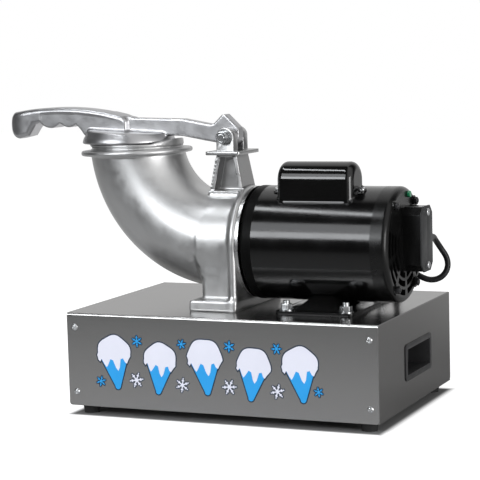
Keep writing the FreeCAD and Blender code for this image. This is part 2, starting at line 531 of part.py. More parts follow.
def slab(parts, thickness):
    """Arcs, curves and lines in order, closed and pushed to a thickness centred on the drive plane."""
    edges = []
    for kind, points in parts:
        if kind == "arc":
            edges.append(Part.Arc(*points).toShape())
        elif kind == "curve":
            curve = Part.BSplineCurve()
            curve.interpolate(points)
            edges.append(curve.toShape())
        else:
            edges += [Part.LineSegment(a, b).toShape() for a, b in zip(points, points[1:])]
    face = Part.Face(Part.Wire(Part.__sortEdges__(edges)))
    face.translate(V(0, AXIS_Y - thickness / 2, 0))
    return face.extrude(V(0, thickness, 0))


def lever_lid():
    """The round lid over the mouth: its rim follows the mouth, its top slopes, its middle is hollow."""
    z0 = MOUTH_Z + NECK_L + LID_GAP
    lid = Part.makeCylinder(LID_R, LID_LEFT_H, V(LID_X, AXIS_Y, z0))
    reach = LID_R + 1
    over = [V(LID_X - reach, AXIS_Y - reach, z0 + LID_LEFT_H),
            V(LID_X + reach, AXIS_Y - reach, z0 + LID_RIGHT_H),
            V(LID_X + reach, AXIS_Y - reach, z0 + LID_LEFT_H + 1),
            V(LID_X - reach, AXIS_Y - reach, z0 + LID_LEFT_H + 1)]
    lid = lid.cut(prism(over, V(0, 2 * reach, 0)))
    inner = LID_R - LID_RIM
    hollow = Part.makeCone(inner + LID_HOLLOW, inner, LID_HOLLOW, V(LID_X, AXIS_Y, z0))
    return leaned(lid.cut(hollow))


def lever_handle():
    """The wide handle: an arched back, a knob at its end and two finger bumps below."""
    root = 2.5
    knuckle = LID_FAR + 8
    first, second = knuckle + 2 + FINGER_PITCH / 2, knuckle + 2 + FINGER_PITCH * 1.5
    low = FINGER_RISE
    high = FINGER_RISE + FINGER_DEPTH
    hook = TIP_REACH - 38
    top = [at(ARM_REACH, GRIP_RISE - 13.5), at((ARM_REACH + GRIP_REACH) / 2, GRIP_RISE - 4.2),
           at(GRIP_REACH, GRIP_RISE), at((GRIP_REACH + TIP_REACH) / 2, GRIP_RISE - 1),
           at(TIP_REACH - 11, GRIP_RISE - 5.5)]
    under = [at(hook, GRIP_RISE - 35), at(hook - 5, GRIP_RISE - 29), at(second + FINGER_PITCH / 2, high),
             at(second, low), at((first + second) / 2, high), at(first, low + 1), at(knuckle + 2, high - 1),
             at(knuckle - 4, high - 5), at(LID_FAR + 1, root)]
    grip = slab([("curve", top),
                 ("arc", [top[-1], at(TIP_REACH, GRIP_RISE - 22), at(TIP_REACH - 17, GRIP_RISE - 40)]),
                 ("line", [at(TIP_REACH - 17, GRIP_RISE - 40), under[0]]),
                 ("curve", under),
                 ("line", [under[-1], at(LID_FAR - 6, root + 2), at(ARM_REACH + 4, root + 1), top[0]])],
                HANDLE_T)
    back = [e for e in grip.Edges if not runs_along(e, Y) and e.CenterOfMass.z > PIVOT_Z + GRIP_RISE / 2]
    return grip.makeFillet(HANDLE_ROUND, back)


def lever_arm():
    """The narrow arm with its peaked tail around the pivot."""
    under = RIM_Z + ARM_CLEAR - PIVOT_Z
    foot = PEAK_FOOT_REACH
    return slab([
        ("line", [at(ARM_REACH + 5, 3), at(ARM_REACH + 5, ARM_RISE + 1.5), at(ARM_BEND_REACH, ARM_RISE - 0.5),
                  at(foot, ARM_RISE - 7.5), at(foot - 5, ARM_RISE - 6.5), at(PEAK_BACK + 4, PEAK_RISE - 0.5),
                  at(PEAK_BACK, PEAK_RISE), at(-TAIL_R + 3, 13)]),
        ("arc", [at(-TAIL_R + 3, 13), at(-TAIL_R + 0.8, 10.8), at(-TAIL_R, 8)]),
        ("line", [at(-TAIL_R, 8), at(-TAIL_R, 0)]),
        ("arc", [at(-TAIL_R, 0), at(0, -TAIL_R), at(TAIL_R, 0)]),
        ("line", [at(TAIL_R, 0), at(TAIL_R + 0.1, -9.5), at(TAIL_R + 7, -7.5), at(TAIL_R + 22, -5),
                  at(LID_NEAR - 20, under), at(LID_NEAR + 7, under + 0.8), at(ARM_REACH + 5, 3)])],
        LEVER_T)


def pusher_lever():
    """Handle, arm, tail and lid, cast in one piece and bored for the pivot."""
    lever = lever_handle().fuse(lever_arm()).fuse(lever_lid())
    bore = rod(PIVOT_X, AXIS_Y - LEVER_T, PIVOT_Z, Y, PIVOT_R + PIVOT_FIT, 2 * LEVER_T)
    return lever.cut(bore).removeSplitter()


# ---------------------------------------------------------------- motor
def chamber_back_plate():
    plate = ring(DRUM_X1, DRUM_X1 + 4, BACK_FLANGE_R - 0.5, SHAFT_R + 6)
    for y, z in back_screw_places():
        plate = plate.cut(rod(DRUM_X1 - 1, y, z, X, 2.5, 6))
    return plate


def back_screw_places():
    r = (BACK_FLANGE_R + CHAMBER_R) / 2
    return [(AXIS_Y + r * math.cos(math.radians(a)), AXIS_Z + r * math.sin(math.radians(a)))
            for a in range(30, 390, 60)]


def back_plate_screws():
    return group([rod(DRUM_X1, y, z, X, 2.5, 4.0) for y, z in back_screw_places()])


def shaft_seal():
    return ring(DRUM_X1, DRUM_X1 + 5, SHAFT_R + 6, SHAFT_R + RUN_FIT)


def tie_places():
    return [(AXIS_Y + sy * TIE_Y, AXIS_Z + sz * TIE_Z) for sy in (-1, 1) for sz in (-1, 1)]


def bell_vents(x0, x1, bands, start, sweep, count):
    """Arc slots through an end bell, in rings; angles run from +Y toward +Z."""
    cuts = []
    step = sweep / count
    for inner, outer in ((MOTOR_R - deep, MOTOR_R - shallow) for deep, shallow in bands):
        for i in range(count):
            a0 = start + i * step + 4
            wedge = Part.makeCylinder(outer, x1 - x0, V(x0, AXIS_Y, AXIS_Z), X, step - 8)
            wedge.rotate(V(x0, AXIS_Y, AXIS_Z), X, a0 - 90)
            cuts.append(wedge.cut(on_axis(x0 - 1, x1 + 1, inner)))
    return cuts


def drive_end_bell():
    """Drive-side bell: a cup with a spigot in the shell and the front bearing's seat."""
    bell = on_axis(BELL_X0, SHELL_X0, MOTOR_R)
    bell = rounded(bell, 5, lambda e: abs(e.CenterOfMass.x - BELL_X0) < 0.01)
    bell = bell.fuse(on_axis(SHELL_X0, SHELL_X0 + SPIGOT_L, MOTOR_R - SHELL_T))
    bell = bell.cut(on_axis(BELL_X0 + BELL_WALL, SHELL_X0 + SPIGOT_L + 1, BELL_CAVITY_R))
    seat_x1 = BELL_X0 + BELL_WALL + BEARING_W
    bell = bell.fuse(on_axis(BELL_X0, seat_x1, BEARING_OD_R + 6))
    bell = bell.cut(on_axis(BELL_X0 + BELL_WALL, seat_x1 + 1, BEARING_OD_R))
    bell = bell.cut(on_axis(BELL_X0 - 1, seat_x1, BEARING_ID_R + 2))
    for y, z in tie_places():
        boss = rod(BELL_X0 + 2, y, z, X, TIE_R + 4, SHELL_X0 - BELL_X0)
        bell = bell.fuse(boss.common(on_axis(BELL_X0, SHELL_X1, MOTOR_R - SHELL_T)))
        bell = bell.cut(rod(BELL_X0 - 1, y, z, X, TIE_R, 60))
        bell = bell.cut(rod(BELL_X0 - 1, y, z, X, TIE_R * 2.1, 1 + TIE_SINK))
    for tool in bell_vents(BELL_X0 - 1, BELL_X0 + BELL_WALL + 1, DRIVE_VENTS_IN, -60, 300, 5):
        bell = bell.cut(tool)
    return bell.removeSplitter()


def rear_end_bell():
    """Rear bell: band, vented face, hub over the bearing and the terminal box's pad."""
    bell = on_axis(SHELL_X1, REAR_X1, MOTOR_R)
    bell = rounded(bell, 7, lambda e: abs(e.CenterOfMass.x - REAR_X1) < 0.01)
    bell = bell.fuse(on_axis(SHELL_X1 - SPIGOT_L, SHELL_X1, MOTOR_R - SHELL_T))
    bell = bell.cut(on_axis(SHELL_X1 - SPIGOT_L - 1, REAR_X1 - BELL_WALL + 1, BELL_CAVITY_R))
    seat_x0 = REAR_X1 - BELL_WALL - BEARING_W + 2
    bell = bell.fuse(on_axis(seat_x0, REAR_X1, BEARING_OD_R + 5))
    for tool in bell_vents(REAR_X1 - BELL_WALL - 1, REAR_X1 + 1, REAR_VENTS_IN, 155, 195, 5):
        bell = bell.cut(tool)
    bell = bell.fuse(on_axis(REAR_X1 - 1, TERM_X0, HUB_R))
    bell = bell.fuse(box(REAR_X1 - 1, TERM_X0, AXIS_Y + TERM_Y0, AXIS_Y + TERM_Y1,
                         AXIS_Z + TERM_Z0, AXIS_Z + TERM_Z1))
    bell = bell.cut(on_axis(seat_x0 - 1, seat_x0 + BEARING_W, BEARING_OD_R))
    bell = bell.cut(on_axis(seat_x0, seat_x0 + BEARING_W + 3, BEARING_ID_R + 2))
    for y, z in tie_places():
        boss = rod(SHELL_X1, y, z, X, TIE_R + 4, REAR_X1 - SHELL_X1 + 1)
        bell = bell.fuse(boss.common(on_axis(SHELL_X1, TERM_X0, MOTOR_R)))
        bell = bell.cut(rod(SHELL_X1 - 30, y, z, X, TIE_R, 80))
    bell = bell.cut(rod(REAR_X1 - GROUND_L - 2, *GROUND, X, GROUND_R, GROUND_L + 3))
    return bell.removeSplitter()


GROUND = (AXIS_Y + 14.0, AXIS_Z + 60.0)


def motor_shell():
    shell = ring(SHELL_X0, SHELL_X1, MOTOR_R, MOTOR_R - SHELL_T)
    shell = shell.cut(rod((COVER_X0 + COVER_X1) / 2, CAP_Y, AXIS_Z, Z, 5, MOTOR_R + 5))
    for x in cover_screw_x():
        shell = shell.cut(radial_rod(x, MOTOR_R - SHELL_T - 3, 2.0, SHELL_T + 6))
    return shell


def stator_core():
    core = ring(STATOR_X0, STATOR_X1, MOTOR_R - SHELL_T, STATOR_BORE_R)
    for y, z in tie_places():
        core = core.cut(rod(STATOR_X0 - 1, y, z, X, TIE_R + 0.6, STATOR_X1 - STATOR_X0 + 2))
    return core.cut(slot_bars(STATOR_X0 - 1, STATOR_X1 + 1, STATOR_BORE_R - 2))


def slot_bars(x0, x1, r0):
    """One bar per stator slot, as one group."""
    width = SLOT_FILL * 2 * math.pi * STATOR_BORE_R / SLOTS
    bars = []
    for i in range(SLOTS):
        bar = box(x0, x1, AXIS_Y - width / 2, AXIS_Y + width / 2,
                  AXIS_Z + r0, AXIS_Z + STATOR_BORE_R + SLOT_DEEP)
        bar.rotate(V(0, AXIS_Y, AXIS_Z), X, 360 * i / SLOTS + 180 / SLOTS)
        bars.append(bar)
    return group(bars)


def stator_windings():
    """The coils: bars in the slots, joined by an end turn at each end."""
    outer, inner = STATOR_BORE_R + SLOT_DEEP + COIL_OUT, STATOR_BORE_R + COIL_IN
    coil = ring(STATOR_X0 - WINDING_OUT, STATOR_X0 - 1, outer, inner)
    coil = coil.fuse(ring(STATOR_X1 + 1, STATOR_X1 + WINDING_OUT, outer, inner))
    for bar in slot_bars(STATOR_X0 - 2, STATOR_X1 + 2, STATOR_BORE_R + 4).Solids:
        coil = coil.fuse(bar)
    return coil


def bearing(x0):
    body = ring(x0, x0 + BEARING_W, BEARING_OD_R, BEARING_ID_R + RUN_FIT)
    for x in (x0 - 1, x0 + BEARING_W - 1.5):
        body = body.cut(ring(x, x + 2.5, BEARING_OD_R - 3.5, BEARING_ID_R + 4))
    return body


def tie_bolts():
    """Four long bolts that clamp the bells to the shell, each with its nut at the rear."""
    bolts = []
    for y, z in tie_places():
        end = REAR_X1 + 1 + TIE_END
        bolts.append(hex_bolt(BELL_X0 + TIE_SINK, y, z, V(-1, 0, 0), TIE_AF, TIE_HEAD_H, TIE_R,
                              end - BELL_X0 - TIE_SINK))
        nut = hexagon(REAR_X1 + 1, y, z, X, TIE_AF, TIE_NUT_H)
        bolts.append(nut.cut(rod(REAR_X1, y, z, X, TIE_R, 12)))
    return group(bolts)


def motor_foot():
    """Pressed base under the shell: a slotted plate and two saddles that meet the shell."""
    half_x, half_y = FOOT_BOLT_X / 2 + FOOT_EDGE, FOOT_BOLT_Y / 2 + FOOT_EDGE - 1
    plate = box(FOOT_CX - half_x, FOOT_CX + half_x, AXIS_Y - half_y, AXIS_Y + half_y, DECK, DECK + FOOT_T)
    plate = rounded(plate, 6, lambda e: runs_along(e, Z))
    for side in (-1, 1):
        def level(half, y_in, y_out, z):
            near, far = AXIS_Y + side * y_in, AXIS_Y + side * y_out
            points = [V(FOOT_CX - half, near, z), V(FOOT_CX + half, near, z),
                      V(FOOT_CX + half, far, z), V(FOOT_CX - half, far, z)]
            return Part.makePolygon(points + [points[0]])
        saddle = Part.makeLoft([level(SADDLE_LOW_X, SADDLE_LOW_IN, SADDLE_LOW_OUT, DECK + FOOT_T - 1),
                                level(SADDLE_HIGH_X, SADDLE_HIGH_IN, SADDLE_HIGH_OUT,
                                      AXIS_Z - MOTOR_R + SADDLE_BITE)], True, True)
        plate = plate.fuse(saddle)
    plate = plate.cut(on_axis(SHELL_X0, SHELL_X1, MOTOR_R))
    for x, y in MOUNT_PLACES:
        plate = plate.cut(rod(x, y, DECK - 1, Z, MOUNT_BOLT_R + 0.5, 20))
    return plate.removeSplitter()


def motor_mount_bolts():
    length = SHEET + FOOT_T + WASHER_T + MOUNT_NUT_H + MOUNT_END
    return group([hex_bolt(x, y, DECK - SHEET, V(0, 0, -1), MOUNT_NUT_AF, MOUNT_HEAD_H, MOUNT_BOLT_R, length)
                  for x, y in MOUNT_PLACES])


def motor_mount_nuts():
    z = DECK + FOOT_T + WASHER_T
    return group([hexagon(x, y, z, Z, MOUNT_NUT_AF, MOUNT_NUT_H).cut(rod(x, y, z - 1, Z, MOUNT_BOLT_R, 20))
                  for x, y in MOUNT_PLACES])


def motor_mount_washers():
    z = DECK + FOOT_T
    hole_l = WASHER_T + 2
    return group([rod(x, y, z, Z, MOUNT_WASHER_R, WASHER_T).cut(rod(x, y, z - 1, Z, MOUNT_BOLT_R, hole_l))
                  for x, y in MOUNT_PLACES])


# ---------------------------------------------------------------- capacitor
def cover_form(half, top, x0, x1, edge):
    """An arched trough, closed at both ends and cut to the shell."""
    z_low = AXIS_Z + 30
    z_arch = AXIS_Z + top - half
    form = box(x0, x1, CAP_Y - half, CAP_Y + half, z_low, z_arch)
    form = form.fuse(rod(x0, CAP_Y, z_arch, X, half, x1 - x0)).removeSplitter()
    return rounded(form, edge, lambda e: abs(e.CenterOfMass.x - (x0 + x1) / 2) > (x1 - x0) / 2 - 0.01
                   and e.CenterOfMass.z > z_low + 1)


def capacitor_cover():
    inner_half, inner_top = COVER_HALF - COVER_T, COVER_TOP - COVER_T
    cover = cover_form(COVER_HALF, COVER_TOP, COVER_X0, COVER_X1, COVER_EDGE)
    cover = cover.cut(cover_form(inner_half, inner_top, COVER_X0 + COVER_T, COVER_X1 - COVER_T,
                                 COVER_EDGE - COVER_T))
    band = ring(COVER_X0 - LUG_L, COVER_X1 + LUG_L, MOTOR_R + COVER_T, MOTOR_R)
    for x0, x1 in ((COVER_X0 - LUG_L, COVER_X0 + 1), (COVER_X1 - 1, COVER_X1 + LUG_L)):
        lug = box(x0, x1, CAP_Y - LUG_W / 2, CAP_Y + LUG_W / 2, AXIS_Z + 40, AXIS_Z + MOTOR_R + 5)
        cover = cover.fuse(lug.common(band))
    cover = cover.cut(on_axis(SHELL_X0 - 1, SHELL_X1 + 1, MOTOR_R))
    for x in cover_screw_x():
        cover = cover.cut(radial_rod(x, MOTOR_R - 5, 2.0, 15))
    return cover


def cover_screw_x():
    return COVER_X0 - LUG_L / 2, COVER_X1 + LUG_L / 2


def radial():
    """The direction from the drive axis to the cover's middle line on the shell."""
    dy = CAP_Y - AXIS_Y
    return V(0, dy, math.sqrt(MOTOR_R ** 2 - dy ** 2)).normalize()


def radial_rod(x, r0, r, length):
    out = radial()
    return Part.makeCylinder(r, length, V(x, AXIS_Y + out.y * r0, AXIS_Z + out.z * r0), out)


def capacitor_screws():
    out = radial()
    r = MOTOR_R + COVER_T + LUG_FIT
    return group([screw(x, AXIS_Y + out.y * r, AXIS_Z + out.z * r, out,
                        COVER_HEAD_R, COVER_HEAD_H, COVER_SCREW_R, COVER_SCREW_L) for x in cover_screw_x()])


def start_capacitor():
    dy = CAP_Y - AXIS_Y
    z = AXIS_Z + math.sqrt((MOTOR_R + CAP_R) ** 2 - dy ** 2)
    can = rod(CAP_X0, CAP_Y, z, X, CAP_R, CAP_X1 - CAP_X0)
    for sy in (-1, 1):
        can = can.fuse(box(CAP_X1, CAP_X1 + 6, CAP_Y + sy * 6 - 2, CAP_Y + sy * 6 + 2, z - 0.4, z + 0.4))
    return can


# ---------------------------------------------------------------- terminal box and lead
def term_block(x0, x1, inset):
    y0, y1 = AXIS_Y + TERM_Y0 + inset, AXIS_Y + TERM_Y1 - inset
    z0, z1 = AXIS_Z + TERM_Z0 + inset, AXIS_Z + TERM_Z1 - inset
    c = TERM_CUT - inset / 2
    points = [(y0 + c, z0), (y1 - c, z0), (y1, z0 + c), (y1, z1 - c), (y1 - c, z1), (y0 + c, z1),
              (y0, z1 - c), (y0, z0 + c)]
    return prism([V(x0, y, z) for y, z in points], V(x1 - x0, 0, 0))


def term_screw_places():
    y = AXIS_Y + (TERM_Y0 + TERM_Y1) / 2
    z = AXIS_Z + (TERM_Z0 + TERM_Z1) / 2
    return [(y, z - TERM_SCREW_DZ), (y, z + TERM_SCREW_DZ)]


def terminal_box():
    body = term_block(TERM_X0, TERM_X1, 0).cut(term_block(TERM_X0 + TERM_T, TERM_X1 + 1, TERM_T))
    for y, z in term_screw_places():
        boss = rod(TERM_X0, y, z, X, TERM_BOSS_R, TERM_D)
        body = body.fuse(boss).cut(rod(TERM_X0 + 5, y, z, X, TERM_SCREW_R, TERM_D))
    hole = rod(LEAD_EXIT[0], AXIS_Y + TERM_Y1 - 5, LEAD_EXIT[2], Y, CORD_R + 1, 10)
    return body.cut(hole).removeSplitter()


def terminal_cover():
    plate = term_block(TERM_X1, TERM_X1 + TERM_PLATE_T, -0.6)
    for y, z in term_screw_places():
        plate = plate.cut(rod(TERM_X1 - 1, y, z, X, TERM_SCREW_R, TERM_PLATE_T + 3))
    return plate


def terminal_screws():
    return group([screw(TERM_X1 + TERM_PLATE_T, y, z, X, TERM_HEAD_R, TERM_HEAD_H, TERM_SCREW_R, TERM_SCREW_L)
                  for y, z in term_screw_places()])


def ground_screw():
    return hex_bolt(REAR_X1, *GROUND, X, GROUND_AF, GROUND_HEAD_H, GROUND_R, GROUND_L)


def lead_gland():
    """A tapered bush in the terminal box's side; the lead starts at its end."""
    x, y, z = LEAD_EXIT
    y0 = AXIS_Y + TERM_Y1
    bush = Part.makeCone(GLAND_R, CORD_R + 1.2, GLAND_L, V(x, y0, z), Y)
    return bush.fuse(rod(x, y0 - TERM_T - 2, z, Y, CORD_R + 1, TERM_T + 3))


def deck_grip():
    """The grip where the lead goes down through the deck."""
    x, y, z = LEAD_END
    grip = Part.makeCone(GRIP_CONE_R, CORD_R + 1.6, GRIP_CONE_H, V(x, y, DECK))
    return grip.fuse(rod(x, y, DECK - SHEET - 6, Z, GLAND_R, SHEET + 7))


def motor_lead():
    """The lead's tube: straight runs joined by tangent arcs."""
    points = [V(*p) for p in LEAD_ROUTE]
    edges, start = [], points[0]
    for before, corner, after in zip(points, points[1:], points[2:]):
        a, b = before - corner, after - corner
        ua, ub = V(a).normalize(), V(b).normalize()
        half_turn = (math.pi - ua.getAngle(ub)) / 2
        cut = 0.45 * min(a.Length, b.Length)
        radius = cut / math.tan(half_turn)
        print(f"lead arc radius {radius:.1f} mm")
        first, last = corner + ua * cut, corner + ub * cut
        toward = (ua + ub).normalize()
        middle = corner + toward * (radius / math.cos(half_turn) - radius)
        edges.append(Part.LineSegment(start, first).toShape())
        edges.append(Part.Arc(first, middle, last).toShape())
        start = last
    edges.append(Part.LineSegment(start, points[-1]).toShape())
    path = Part.Wire(edges)
    section = Part.Wire(Part.Circle(points[0], points[1] - points[0], CORD_R).toShape())
    tube = path.makePipeShell([section], True, True)
    ratio = tube.Volume / (math.pi * CORD_R ** 2 * path.Length)
    print(f"lead length {path.Length:.1f} mm, volume ratio {ratio:.4f}")
    return tube


# ---------------------------------------------------------------- rotor and cutter
FRONT_SEAT = BELL_X0 + BELL_WALL
REAR_SEAT = REAR_X1 - BELL_WALL - BEARING_W + 2
DISC_X1 = DRUM_X0 + CHUTE_WALL + DISC_FIT + DISC_T
THREAD_X0 = DISC_X1 - DISC_T - 16


def motor_shaft():
    shaft = on_axis(THREAD_X0, DISC_X1 - DISC_T, THREAD_R)
    shaft = shaft.fuse(on_axis(DISC_X1 - DISC_T, FRONT_SEAT - 1, SHAFT_R))
    shaft = shaft.fuse(on_axis(FRONT_SEAT - 1, FRONT_SEAT + BEARING_W, BEARING_ID_R))
    shaft = shaft.fuse(on_axis(FRONT_SEAT + BEARING_W, REAR_SEAT, BEARING_ID_R))
    shaft = shaft.fuse(on_axis(FRONT_SEAT + BEARING_W + END_PLAY, REAR_SEAT - END_PLAY, CORE_SHAFT_R))
    return shaft.fuse(on_axis(REAR_SEAT, REAR_SEAT + BEARING_W + 1, BEARING_ID_R)).removeSplitter()


def rotor_core():
    """Laminations between two cast end rings with short fins."""
    r = STATOR_BORE_R - AIR_GAP
    core = ring(STATOR_X0 - 2, STATOR_X1 + 2, r, CORE_SHAFT_R)
    for x0, x1 in ((STATOR_X0 - 8, STATOR_X0 - 2), (STATOR_X1 + 2, STATOR_X1 + 8)):
        core = core.fuse(ring(x0, x1, r - 2, r - 12))
    return core


def cooling_fan():
    x0 = FRONT_SEAT + BEARING_W + 2
    x1 = STATOR_X0 - WINDING_OUT - 2
    fan = ring(x0, x1, CORE_SHAFT_R + FAN_HUB_T, CORE_SHAFT_R)
    fan = fan.fuse(ring(x1 - FAN_WEB_T, x1, FAN_R, CORE_SHAFT_R + FAN_HUB_T - 1))
    for i in range(8):
        blade = box(x0 + 1, x1 - FAN_WEB_T / 2, AXIS_Y - FAN_WEB_T / 2, AXIS_Y + FAN_WEB_T / 2,
                    AXIS_Z + CORE_SHAFT_R + FAN_HUB_T - 2, AXIS_Z + FAN_R - 1)
        blade.rotate(V(0, AXIS_Y, AXIS_Z), X, 45 * i)
        fan = fan.fuse(blade)
    return fan


def switch_governor():
    """The spool that the shaft's weights push against the start switch."""
    x1 = REAR_SEAT - SPOOL_BACK
    spool = ring(x1 - SPOOL_L, x1, SPOOL_R, CORE_SHAFT_R)
    middle = x1 - SPOOL_L / 2
    return spool.cut(ring(middle - SPOOL_GROOVE_L / 2, middle + SPOOL_GROOVE_L / 2, SPOOL_R + 5, SPOOL_GROOVE_R))


def start_switch():
    """The stationary contact plate of the start switch, in front of the rear bearing."""
    x0 = REAR_SEAT - CONTACT_BACK
    return ring(x0, x0 + CONTACT_T, BELL_CAVITY_R, CONTACT_BORE_R).common(
        box(0, FAR, AXIS_Y - CONTACT_HALF, AXIS_Y + CONTACT_HALF, AXIS_Z - FAR, AXIS_Z + FAR)).Solids[0]


def knife_angles():
    return [90 + 120 * i for i in range(3)]


def turned(shape, angle):
    shape.rotate(V(0, AXIS_Y, AXIS_Z), X, angle)
    return shape


def cutter_disc():
    """Disc and hub on the shaft, with a slot in front of each knife."""
    x0 = DISC_X1 - DISC_T
    disc = on_axis(x0, DISC_X1, DISC_R).fuse(on_axis(DISC_X1, DISC_X1 + CUTTER_HUB_L, CUTTER_HUB_R))
    disc = disc.cut(on_axis(x0 - 1, DISC_X1 + CUTTER_HUB_L + 1, SHAFT_R))
    for angle in knife_angles():
        slot = box(x0 - 1, DISC_X1 + 1, AXIS_Y + KNIFE_W / 2, AXIS_Y + KNIFE_W / 2 + 7,
                   AXIS_Z + SHAFT_R + KNIFE_IN, AXIS_Z + SHAFT_R + KNIFE_IN + KNIFE_L)
        seat_cut = box(x0 - 1, x0 + KNIFE_T - 1, AXIS_Y - KNIFE_W / 2, AXIS_Y + KNIFE_W / 2,
                       AXIS_Z + SHAFT_R + KNIFE_IN, AXIS_Z + SHAFT_R + KNIFE_IN + KNIFE_L)
        disc = disc.cut(turned(slot, angle - 90)).cut(turned(seat_cut, angle - 90))
        for r in knife_screw_radii():
            disc = disc.cut(turned(rod(x0 - 2, AXIS_Y, AXIS_Z + r, X, 2.0, 8), angle - 90))
    return disc.removeSplitter()


def knife_screw_radii():
    return SHAFT_R + KNIFE_IN + KNIFE_L * 0.22, SHAFT_R + KNIFE_IN + KNIFE_L * 0.78


def cutter_knives():
    x0 = DISC_X1 - DISC_T - 1
    knives = []
    for angle in knife_angles():
        knife = box(x0, x0 + KNIFE_T, AXIS_Y - KNIFE_W / 2, AXIS_Y + KNIFE_W / 2,
                    AXIS_Z + SHAFT_R + KNIFE_IN, AXIS_Z + SHAFT_R + KNIFE_IN + KNIFE_L)
        bevel = prism([V(x0 + KNIFE_T, AXIS_Y + KNIFE_W / 2, 0), V(x0 + KNIFE_T, AXIS_Y + KNIFE_W / 2 - 4, 0),
                       V(x0 + 0.4, AXIS_Y + KNIFE_W / 2, 0)], V(0, 0, FAR))
        knife = knife.cut(bevel)
        for r in knife_screw_radii():
            knife = knife.cut(rod(x0 - 1, AXIS_Y, AXIS_Z + r, X, KNIFE_SCREW_R, 5))
        knives.append(turned(knife, angle - 90))
    return group(knives)


def knife_screws():
    x0 = DISC_X1 - DISC_T - 1
    screws = []
    for angle in knife_angles():
        for r in knife_screw_radii():
            head = rod(x0, AXIS_Y, AXIS_Z + r, V(-1, 0, 0), KNIFE_HEAD_R, KNIFE_HEAD_H)
            shank = rod(x0, AXIS_Y, AXIS_Z + r, X, KNIFE_SCREW_R, KNIFE_SCREW_L)
            screws.append(turned(head.fuse(shank), angle - 90))
    return group(screws)


def cutter_nut():
    """A domed nut and its washer face, which hold the disc on the shaft."""
    x0 = DISC_X1 - DISC_T
    nut = rod(x0, AXIS_Y, AXIS_Z, V(-1, 0, 0), 13, 2)
    nut = nut.fuse(hexagon(x0 - 2, AXIS_Y, AXIS_Z, V(-1, 0, 0), CUTTER_NUT_AF, CUTTER_NUT_H))
    nut = nut.fuse(Part.makeSphere(CUTTER_NUT_AF / 2 - 0.5, V(x0 - 2 - CUTTER_NUT_H, AXIS_Y, AXIS_Z)))
    return nut.cut(on_axis(THREAD_X0, x0 + 1, THREAD_R))


# ---------------------------------------------------------------- rear panel fittings
ROCKER_Y = REAR + 1


def power_switch():
    """The rocker switch's housing, snapped into the rear panel, with holes for the rocker's pins."""
    w, h, rim = SWITCH_W / 2, SWITCH_H / 2, SWITCH_BEZEL
    body = box(SWITCH_X - w, SWITCH_X + w, REAR - SWITCH_D, REAR, SWITCH_Z - h, SWITCH_Z + h)
    body = body.fuse(box(SWITCH_X - w - rim, SWITCH_X + w + rim, REAR, REAR + rim,
                         SWITCH_Z - h - rim, SWITCH_Z + h + rim))
    well_w, well_h = w - SWITCH_WALL, h - SWITCH_WALL
    body = body.cut(box(SWITCH_X - well_w, SWITCH_X + well_w, REAR - 9, REAR + 5,
                        SWITCH_Z - well_h, SWITCH_Z + well_h))
    hole_l = 2 * (well_w + ROCKER_PIN_L)
    body = body.cut(rod(SWITCH_X - hole_l / 2, ROCKER_Y, SWITCH_Z, X, ROCKER_PIN_R + ROCKER_PIN_FIT, hole_l))
    for dz in (-8, 0, 8):
        body = body.fuse(box(SWITCH_X - 3, SWITCH_X + 3, REAR - SWITCH_D - 8, REAR - SWITCH_D,
                             SWITCH_Z + dz - 0.4, SWITCH_Z + dz + 0.4))
    return body.removeSplitter()


def switch_rocker():
    """The rocker on its two pins, resting with its upper half in."""
    w, h = SWITCH_W / 2 - SWITCH_WALL - ROCKER_GAP, SWITCH_H / 2 - SWITCH_WALL - 3 * ROCKER_GAP
    profile = [V(0, ROCKER_Y - 5, -h), V(0, ROCKER_Y + 2.5, -h), V(0, ROCKER_Y + 1, 0), V(0, ROCKER_Y + 2.5, h),
               V(0, ROCKER_Y - 5, h)]
    rocker = prism(profile, V(2 * w, 0, 0))
    rocker.translate(V(SWITCH_X - w, 0, SWITCH_Z))
    pin_l = 2 * (w + ROCKER_PIN_L)
    rocker = rocker.fuse(rod(SWITCH_X - pin_l / 2, ROCKER_Y, SWITCH_Z, X, ROCKER_PIN_R, pin_l))
    rocker.rotate(V(SWITCH_X, ROCKER_Y, SWITCH_Z), X, ROCKER_TILT)
    return rocker


def mains_gland():
    """A cable gland with its nut in the rear panel, its bore open for a mains lead."""
    body = hexagon(INLET_X, REAR, INLET_Z, Y, 2 * INLET_R, 5)
    body = body.fuse(Part.makeCone(INLET_R - 1.5, INLET_R - 3, 9, V(INLET_X, REAR + 5, INLET_Z), Y))
    body = body.fuse(rod(INLET_X, REAR - 12, INLET_Z, Y, INLET_R - 2, 12))
    nut = hexagon(INLET_X, REAR - SHEET - 4, INLET_Z, Y, 2 * INLET_R + 2, 4)
    return body.fuse(nut).cut(rod(INLET_X, REAR - 20, INLET_Z, Y, INLET_BORE_R, 40))


# ---------------------------------------------------------------- every piece to its file
save("base_wrap", base_wrap())
save("rear_panel", rear_panel())
save("side_panel_left", side_panel(-1))
save("side_panel_right", side_panel(1))
save("panel_screws", panel_screws())
for (x, y), corner in zip(FOOT_PLACES, ("front_left", "rear_left", "front_right", "rear_right")):
    save("foot_" + corner, foot(x, y))
save("foot_screws", foot_screws())
save("hand_grip_left", hand_grip(-1))
save("hand_grip_right", hand_grip(1))
save("pan_rails", pan_rails())
save("ice_pan", ice_pan())
save("pan_pull", pan_pull())
save("head_casting", head_casting())
save("head_bolts", head_bolts())
save("lever_post", lever_post())
save("lever_clevis", lever_clevis())
save("pivot_bolt", pivot_bolt())
save("pivot_nut", pivot_nut())
save("pivot_washers", pivot_washers())
save("pusher_lever", pusher_lever())
save("chamber_back_plate", chamber_back_plate())
save("back_plate_screws", back_plate_screws())
save("shaft_seal", shaft_seal())
save("drive_end_bell", drive_end_bell())
save("motor_shell", motor_shell())
save("rear_end_bell", rear_end_bell())
save("stator_core", stator_core())
save("stator_windings", stator_windings())
